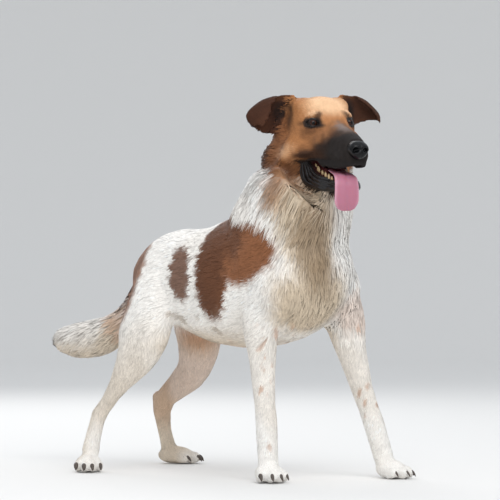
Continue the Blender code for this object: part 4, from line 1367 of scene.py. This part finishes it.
def lid_rims(side):
    """The wet black edges of both lids, which meet in a small corner towards the nose."""
    axes = eye_axes(side)
    centre = np.array(EYE_AT[side])
    ball = EYE_RADIUS / CM + 0.05
    shell = Shell()
    for tall, size in ((LID_UP, 0.09), (-LID_DOWN, 0.06)):
        places = []
        for t in np.linspace(-1, 1, 29):
            x = t * LID_HALF * (1.16 if t > 0.7 else 1 + 0.16 * max(0, (t - 0.2) / 0.8) ** 2)
            y = tall * max(1 - abs(t) ** 2.1, 0) ** 0.8
            out = math.sqrt(max(ball**2 - x * x - y * y, 0.05))
            places.append(Vector(centre + (x * axes[0] + y * axes[1] + out * axes[2]) * CM))
        thick = [(0.035 + size * (0.4 + 0.6 * math.sin(math.pi * k / 28))) * CM for k in range(29)]
        shell.tube(places, Vector(axes[2]), thick, [v * 1.25 for v in thick], 10)
    return shell.mesh("lids_" + side)


# The nose leather in centimetres: its half width and half height, how deep its dome is, and how far
# to the side and up each nostril lies.
NOSE_WIDE = 1.98
NOSE_TALL = 1.78
NOSE_DOME = 1.95
NOSTRIL = (0.98, -0.10)


def hump(*offsets):
    """1 where every offset is 0, and falling smoothly to 0 around there."""
    return math.exp(-sum(offset**2 for offset in offsets))


def nose_relief(wide, tall, t):
    """How far the nose leather stands out at a place on it, t of the way from its edge to its front."""
    out = abs(wide)
    nx = (out - NOSTRIL[0]) / 0.50
    ny = (tall - NOSTRIL[1]) / 0.42
    hole = math.exp(-((nx * nx + ny * ny) ** 1.5))
    slit = hump((out - 1.45) / 0.42, (tall + 0.28 + 0.30 * (out - 0.9)) / 0.15)
    groove = hump(wide / 0.10) * (1 if tall < 0.3 else 0.3)
    wing = hump((out - 1.0) / 0.6, (tall - 0.62) / 0.35)
    # The top leans back and the bottom is tucked under.
    push = -0.16 * tall - 0.10 * tall * tall
    push += 0.12 * wing - 0.12 * groove * t
    return push - (0.85 * hole + 0.42 * slit) * min(1, t * 1.6)


def make_nose():
    """Nose leather: a broad dome with comma-shaped nostrils and a groove between them."""
    rings = []
    steps, count = 44, 88
    for k in range(steps):
        t = k / (steps - 1)
        size = max(1 - t**3.0, 0.0) ** (1 / 2.2) if k < steps - 1 else 0.012
        ahead = NOSE_AHEAD + NOSE_DOME * t**0.72
        ring = []
        for turn in turns(count):
            x, y = math.cos(turn), math.sin(turn)
            wide = NOSE_WIDE * abs(x) ** 0.86 * (1 if x > 0 else -1) * size
            tall = NOSE_TALL * abs(y) ** 0.9 * (1 if y > 0 else -1) * size
            # Narrower below, where the leather runs down to the lip.
            wide *= 1 - 0.34 * max(-tall, 0) / 1.8
            ring.append(on_head(ahead + nose_relief(wide, tall, t), NOSE_LEFT + wide, NOSE_UP + tall))
        rings.append(ring)
    return shell_of("nose_leather", rings)


TONGUE_ROWS = (
    # Centimetres ahead, left and up on the head, then the half width and half thickness.
    (0.4, -0.2, -8.75, 1.3, 0.35), (2.4, -0.4, -9.25, 1.55, 0.42), (4.8, -0.7, -9.85, 1.75, 0.48),
    (7.0, -1.2, -10.35, 2.0, 0.5), (8.7, -1.7, -11.0, 2.25, 0.5), (9.5, -2.0, -12.2, 2.42, 0.48),
    (9.6, -2.1, -13.8, 2.5, 0.46), (9.5, -2.2, -15.4, 2.45, 0.42), (9.3, -2.2, -16.5, 1.9, 0.34),
    (9.2, -2.2, -17.0, 1.0, 0.2),
)
TONGUE_GROOVE = 0.16
TONGUE_RIPPLE = 0.05


def make_tongue():
    """The tongue, with a groove down its middle, faint ripples across it, paler edges and painted shade on
    top towards its root.
    """
    rows = curve_through(TONGUE_ROWS, 6)
    rings = []
    tints = []
    for k, (ahead, left, up, half, thick) in enumerate(rows):
        before, after = rows[max(k - 1, 0)], rows[min(k + 1, len(rows) - 1)]
        along = after[:3] - before[:3]
        along /= np.linalg.norm(along)
        across = np.array([0, 1, 0]) - along * along[1]
        across /= np.linalg.norm(across)
        lift = np.cross(along, across)
        ring = []
        for turn in turns(40):
            x = half * math.cos(turn)
            y = thick * math.sin(turn)
            top = max(math.sin(turn), 0)
            y -= TONGUE_GROOVE * top * math.exp(-((x / 0.28) ** 2)) * min(1, half / 1.6)
            y += TONGUE_RIPPLE * math.sin(k * 0.9) * top * abs(math.cos(turn))
            ring.append(on_head(*(np.array([ahead, left, up]) + across * x + lift * y)))
            tints.append((abs(math.cos(turn)), top, k / len(rows)))
        rings.append(ring)
    mesh = shell_of("tongue", rings)
    edge, top, along = np.array(tints).T
    # The deep colour darkens the top towards the root: painted shade where the upper lip hangs over it.
    body, pale, deep = (np.array(linear(colour)) for colour in ("#b57488", "#cf98aa", "#7d3a48"))
    tint = over(np.tile(body, (len(edge), 1)), pale, fade(0.75, 1.0, edge))
    paint(mesh, "tint", over(tint, deep, fade(0.42, 0.2, along) * top))
    return mesh


LIP_RIM = (
    # The rim of the lower lip, from the corner of the mouth to the chin: ahead, out and up.
    (-3.2, 3.95, -7.05), (-2.3, 3.6, -8.0), (-1.6, 3.2, -9.0), (-0.4, 3.0, -9.8), (1.2, 2.8, -10.4),
    (2.9, 2.6, -11.0), (4.6, 2.4, -11.45), (6.4, 2.05, -11.7), (7.7, 1.45, -11.85), (8.5, 0.75, -11.95),
)
LIP_FOLD = (
    # The lowest fold of the lower lip, further out over the jaw.
    (-4.3, 4.2, -7.2), (-4.8, 4.1, -8.6), (-4.7, 3.8, -10.0), (-3.9, 3.5, -11.2), (-1.6, 3.1, -12.1),
    (1.4, 2.8, -12.7), (4.2, 2.6, -12.9), (6.4, 2.2, -12.9), (7.9, 1.5, -12.8), (8.7, 0.75, -12.8),
)
# How far down the lip each fold lies, as a share, and how thick it is.
LIP_FOLDS = ((0.0, 0.32), (0.27, 0.44), (0.56, 0.46), (0.84, 0.42), (1.0, 0.24))
LIP_UPPER = (
    (-3.3, 3.95, -6.9), (-2.4, 4.0, -6.7), (-1.2, 4.0, -6.7), (0.2, 3.9, -6.9), (1.2, 3.7, -7.5),
    (2.2, 3.4, -8.1),
)
LIP_UPPER_SIZE = 0.13
# How far the lips lie sunk in the skin, and how far out past their line they may follow it.
LIP_SUNK = 0.08
LIP_FOLLOW = 0.7
# Ahead of this the lips keep to their own line.
CHIN_AHEAD = 7.0


def spread_along(rows, rounds):
    """Evens out a line of points, leaving its ends."""
    rows = np.array(rows)
    for _ in range(rounds):
        rows[1:-1] = rows[1:-1] * 0.5 + (rows[:-2] + rows[2:]) * 0.25
    return rows


def make_lips():
    """Rubbery black lips, folded over both sides of the lower jaw."""
    shell = Shell()
    rim = np.array(LIP_RIM)
    fold = np.array(LIP_FOLD)
    tree = BVHTree.FromPolygons(SKIN["point"].tolist(), SKIN["face"])
    lines = [(rim + (fold - rim) * share, size) for share, size in LIP_FOLDS]
    lines.append((LIP_UPPER, LIP_UPPER_SIZE))
    for sign in (-1, 1):
        for number, (rows, size) in enumerate(lines):
            places = []
            for ahead, out, up in curve_through(rows, 8):
                hit = tree.ray_cast(on_head(ahead, sign * 9, up), HEAD_LEFT * -sign)[0]
                reach = abs((hit - HEAD_AT).dot(HEAD_LEFT)) / CM if hit else out
                if ahead > CHIN_AHEAD or reach < out - 0.5:
                    reach = out
                places.append(on_head(ahead, sign * (min(reach, out + LIP_FOLLOW) - LIP_SUNK), up))
            places = [Vector(place) for place in spread_along([tuple(place) for place in places], 4)]
            last = len(places) - 1
            thick = []
            for k in range(last + 1):
                taper = math.sin(math.pi * min(k / last * 0.92 + 0.06, 1)) ** 0.6
                thick.append(size * CM * taper * (1 + 0.05 * math.sin(k * 0.7 + number * 2)))
            shell.tube(places, HEAD_LEFT, thick, [v * 1.1 for v in thick], 16)
    return shell.mesh("lips")


LOWER_TEETH = (
    # Centimetres ahead, out from the middle and up to the gum, then the width and height.
    (-2.3, 2.5, -8.1, 0.9, 0.7), (-1.2, 2.5, -8.8, 1.3, 0.8), (0.4, 2.45, -9.5, 0.8, 0.65),
    (1.5, 2.35, -9.95, 0.85, 0.7), (2.6, 2.2, -10.35, 0.8, 0.65), (3.6, 2.1, -10.75, 0.6, 0.5),
    (7.1, 1.15, -11.6, 0.7, 1.0), (8.0, 0.7, -11.8, 0.4, 0.45), (8.2, 0.25, -11.8, 0.4, 0.45),
)


# Rings of a tooth from its root to its tip: how far up each lies and its size, as shares.
TOOTH_RINGS = ((-0.7, 0.9), (0.0, 1.0), (0.35, 0.92), (0.65, 0.66), (0.88, 0.34), (1.0, 0.10))
TOOTH_HALF_THICK = 0.24
TOOTH_LEAN = 0.12


def make_teeth():
    """The lower teeth of both sides, each a blunt cone that leans back."""
    shell = Shell()
    for sign in (-1, 1):
        for ahead, out, up, width, height in LOWER_TEETH:
            rings = []
            for share, size in TOOTH_RINGS:
                ring = []
                for turn in turns(14):
                    front = ahead + width / 2 * size * math.cos(turn) - TOOTH_LEAN * height * max(share, 0)
                    aside = out + TOOTH_HALF_THICK * size * math.sin(turn)
                    ring.append(on_head(front, sign * aside, up + height * share))
                rings.append(ring)
            shell.rings(rings)
    return shell.mesh("teeth")


# A claw's length, radius and upward bow, as shares of its node's length, width and its own length.
CLAW_LENGTH = 0.82
CLAW_RADIUS = 0.37
CLAW_BOW = 0.16
CLAW_TIP = 0.2 * MM


def make_claws():
    """Every claw as a curved, blunt cone that grows out of its toe."""
    shell = Shell()
    for name in CLAWS:
        low, high = (Vector(corner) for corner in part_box(name))
        points = points_of(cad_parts[name].data)
        deep = high.y - low.y
        tip = Vector(points[points[:, 1] < low.y + 0.15 * deep].mean(axis=0))
        base = Vector(points[points[:, 1] > high.y - 0.25 * deep].mean(axis=0))
        tip = base + (tip - base) * CLAW_LENGTH
        radius = (high.x - low.x) * CLAW_RADIUS
        places = []
        sizes = []
        for t in (k / 9 for k in range(10)):
            bow = Vector((0, 0, 1)) * (CLAW_BOW * (tip - base).length * math.sin(math.pi * t))
            places.append(base + (tip - base) * t + bow)
            sizes.append(radius * (1 - t**2.2) ** 0.75 + CLAW_TIP)
        shell.tube(places, Vector((1, 0, 0)), sizes, [v * 1.15 for v in sizes], 14)
    return shell.mesh("claws")


# ---------------------------------------------------------------- steps

DONE = {"FINISHED"}


class DOG_OT_skin(bpy.types.Operator):
    """Lays one skin over all the flesh"""

    bl_idname = "dog.grow_skin"
    bl_label = "Skin"

    def execute(self, context):
        mesh = make_skin()
        piece = show("skin", mesh, skin_look())
        unwrap(mesh, piece)
        survey(mesh)
        paint(mesh, "hair", SKIN["colour"])
        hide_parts(*FLESH)
        return DONE


HAIR_ROUGHNESS = {"short": 0.6, "long": 0.55}
# Hair longer than this is grown as long tufts.
LONG_HAIR = 24 * MM


class DOG_OT_coat(bpy.types.Operator):
    """Plants tufts of hair all over the skin"""

    bl_idname = "dog.plant_coat"
    bl_label = "Coat"

    def execute(self, context):
        mesh = bpy.data.objects["skin"].data
        tree = BVHTree.FromPolygons(SKIN["point"].tolist(), SKIN["face"])
        wanted = context.scene.dog_coat
        amount = COVER * wanted.fullness * 1
        long = SKIN["length"] > LONG_HAIR
        for shape, chooser in (("short", ~long), ("long", long)):
            look = hair_look(shape + "_hair", HAIR_ROUGHNESS[shape])
            seeds = plant(mesh, amount, chooser, wanted.seed + len(shape))
            size = PIECE_TRIANGLES // (len(TUFT_SHAPES[shape]) * 6 - 2)
            # Tufts go to a piece by where they are along the body, so that each piece covers one stretch.
            order = np.argsort(seeds["root"][:, 1])
            for number, start in enumerate(range(0, len(order), size)):
                some = order[start : start + size]
                part = {k: v[some] if isinstance(v, np.ndarray) else v + number for k, v in seeds.items()}
                points, faces, tint, flat, facing = grow(shape, part, tree)
                name = f"{shape}_coat_{number + 1}"
                made = mesh_of(name, points, faces)
                layer = made.uv_layers.new(name="OFBake")
                layer.uv.foreach_set("vector", flat[faces.ravel()].astype(np.float32).ravel())
                paint(made, "hair", tint)
                show(name, made, look)
                shade_like(made, facing)
        return DONE


class DOG_OT_eyes(bpy.types.Operator):
    """Sets the eyes between their lids"""

    bl_idname = "dog.set_eyes"
    bl_label = "Eyes"

    def execute(self, context):
        wet = eye_look()
        rim = lid_look()
        for side in SIDES:
            ball = show("eyeball_" + side, make_eyeball(side), wet)
            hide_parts("eye_" + side)
            show("lids_" + side, lid_rims(side), rim)
        return DONE


class DOG_OT_nose(bpy.types.Operator):
    """Shapes the nose leather"""

    bl_idname = "dog.shape_nose"
    bl_label = "Nose"

    def execute(self, context):
        piece = show("nose_leather", make_nose(), nose_look())
        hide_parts("nose")
        return DONE


class DOG_OT_mouth(bpy.types.Operator):
    """Shapes the tongue, the lips and the teeth"""

    bl_idname = "dog.shape_mouth"
    bl_label = "Mouth"

    def execute(self, context):
        piece = show("tongue_wet", make_tongue(), tongue_look())
        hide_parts("tongue")
        show("lips", make_lips(), lip_look())
        show("teeth", make_teeth(), enamel_look())
        return DONE


class DOG_OT_claws(bpy.types.Operator):
    """Shapes the sixteen claws"""

    bl_idname = "dog.shape_claws"
    bl_label = "Claws"

    def execute(self, context):
        piece = show("claws", make_claws(), horn_look())
        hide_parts(*CLAWS)
        return DONE


# The camera's place on the body's axes in metres, which way it faces and how far it looks up in degrees.
CAMERA_AT = (3.21804, -3.05886, 0.33794)
CAMERA_TURN = 44
CAMERA_RISE = 1.4635
SENSOR_WIDTH = 36
# The lights: name, place, size, and power as a share of the key light's.
LIGHTS = (
    ("key", (2.2, -1.2, 3.0), 2.2, 1.0),
    ("rim", (-2.4, 1.2, 2.6), 2.4, 0.75),
    ("catch", (2.77, -3.48, 1.34), 0.2, 0.09),
)
LIT_AT = (0.2, 0, 0.4)
SKY_COLOUR = "#e9edf2"
SKY_STRENGTH = 0.95
# The floor is level out to this far, then curves up at this radius, in metres.
FLOOR_REACH = 8.0
FLOOR_BEND = 4.0


def make_floor():
    """A round floor that curves up far from the dog, so that no edge shows."""
    rows = [(reach, 0.0) for reach in np.linspace(1.5, FLOOR_REACH, 8)]
    for angle in np.linspace(0.1, math.pi / 2, 16):
        rows.append((FLOOR_REACH + FLOOR_BEND * math.sin(angle), FLOOR_BEND - FLOOR_BEND * math.cos(angle)))
    count = 96
    points = [(0.0, 0.0, 0.0)]
    faces = [(0, 1 + i, 1 + (i + 1) % count) for i in range(count)]
    for row, (reach, height) in enumerate(rows):
        points += [(reach * math.cos(turn), reach * math.sin(turn), height) for turn in turns(count)]
        for i in range(count if row else 0):
            a = 1 + row * count + i
            b = 1 + row * count + (i + 1) % count
            faces.append((a - count, a, b, b - count))
    mesh = bpy.data.meshes.new("floor")
    mesh.from_pydata(points, [], faces)
    mesh.materials.append(paper_look())
    mesh.shade_smooth()
    return mesh


def place_facing(scene, name, data, place, way):
    """Adds a light or a camera that looks along a way."""
    made = bpy.data.objects.new(name, data)
    made.location = place
    made.rotation_euler = way.to_track_quat("-Z", "Y").to_euler()
    scene.collection.objects.link(made)
    return made


class DOG_OT_stage(bpy.types.Operator):
    """Lays a plain floor and sets soft lights and the camera"""

    bl_idname = "dog.set_stage"
    bl_label = "Stage"

    def execute(self, context):
        scene = context.scene
        sizes = scene.dog_stage
        floor = bpy.data.objects.new("floor", make_floor())
        scene.collection.objects.link(floor)

        world = bpy.data.worlds.new("studio")
        world.use_nodes = True
        sky = world.node_tree.nodes["Background"]
        sky.inputs["Color"].default_value = (*linear(SKY_COLOUR), 1)
        sky.inputs["Strength"].default_value = SKY_STRENGTH
        scene.world = world
        scene.view_settings.view_transform = "Standard"

        for name, place, size, share in LIGHTS:
            light = bpy.data.lights.new(name, "AREA")
            light.size = size
            light.energy = sizes.key * share
            place_facing(scene, name, light, on_body(*place), on_body(*LIT_AT) - on_body(*place))

        camera = bpy.data.cameras.new("camera")
        camera.lens = sizes.lens
        camera.sensor_width = SENSOR_WIDTH
        turn = math.radians(CAMERA_TURN)
        rise = math.radians(CAMERA_RISE)
        way = Vector((math.cos(turn) * math.cos(rise), math.sin(turn) * math.cos(rise), math.sin(rise)))
        scene.camera = place_facing(scene, "camera", camera, on_body(*CAMERA_AT), way)
        return DONE


class DOG_PT_panel(bpy.types.Panel):
    """Lists the steps that build the dog"""

    bl_label = "Dog"
    bl_space_type = "VIEW_3D"
    bl_region_type = "UI"
    bl_category = "Dog"

    def draw(self, context):
        for group in (context.scene.dog_coat, context.scene.dog_hair, context.scene.dog_stage):
            for name in group.__annotations__:
                self.layout.prop(group, name)
        for step in STEPS:
            self.layout.operator(step.bl_idname)


GROUPS = {"dog_hair": DogHairColours, "dog_coat": DogCoatSizes, "dog_stage": DogStageSizes}
STEPS = (DOG_OT_skin, DOG_OT_coat, DOG_OT_eyes, DOG_OT_nose, DOG_OT_mouth, DOG_OT_claws, DOG_OT_stage)


def register():
    """Makes the groups of sizes and colours, the steps and the panel known."""
    for name, group in GROUPS.items():
        bpy.utils.register_class(group)
        setattr(bpy.types.Scene, name, bpy.props.PointerProperty(type=group))
    for step in STEPS + (DOG_PT_panel,):
        bpy.utils.register_class(step)


def unregister():
    """Takes them all away again."""
    for step in reversed(STEPS + (DOG_PT_panel,)):
        bpy.utils.unregister_class(step)
    for name, group in GROUPS.items():
        delattr(bpy.types.Scene, name)
        bpy.utils.unregister_class(group)


def main():
    """Builds the whole dog and its stage."""
    register()
    bpy.ops.dog.grow_skin()
    bpy.ops.dog.plant_coat()
    bpy.ops.dog.set_eyes()
    bpy.ops.dog.shape_nose()
    bpy.ops.dog.shape_mouth()
    bpy.ops.dog.shape_claws()
    bpy.ops.dog.set_stage()


if __name__ == "__main__":
    main()
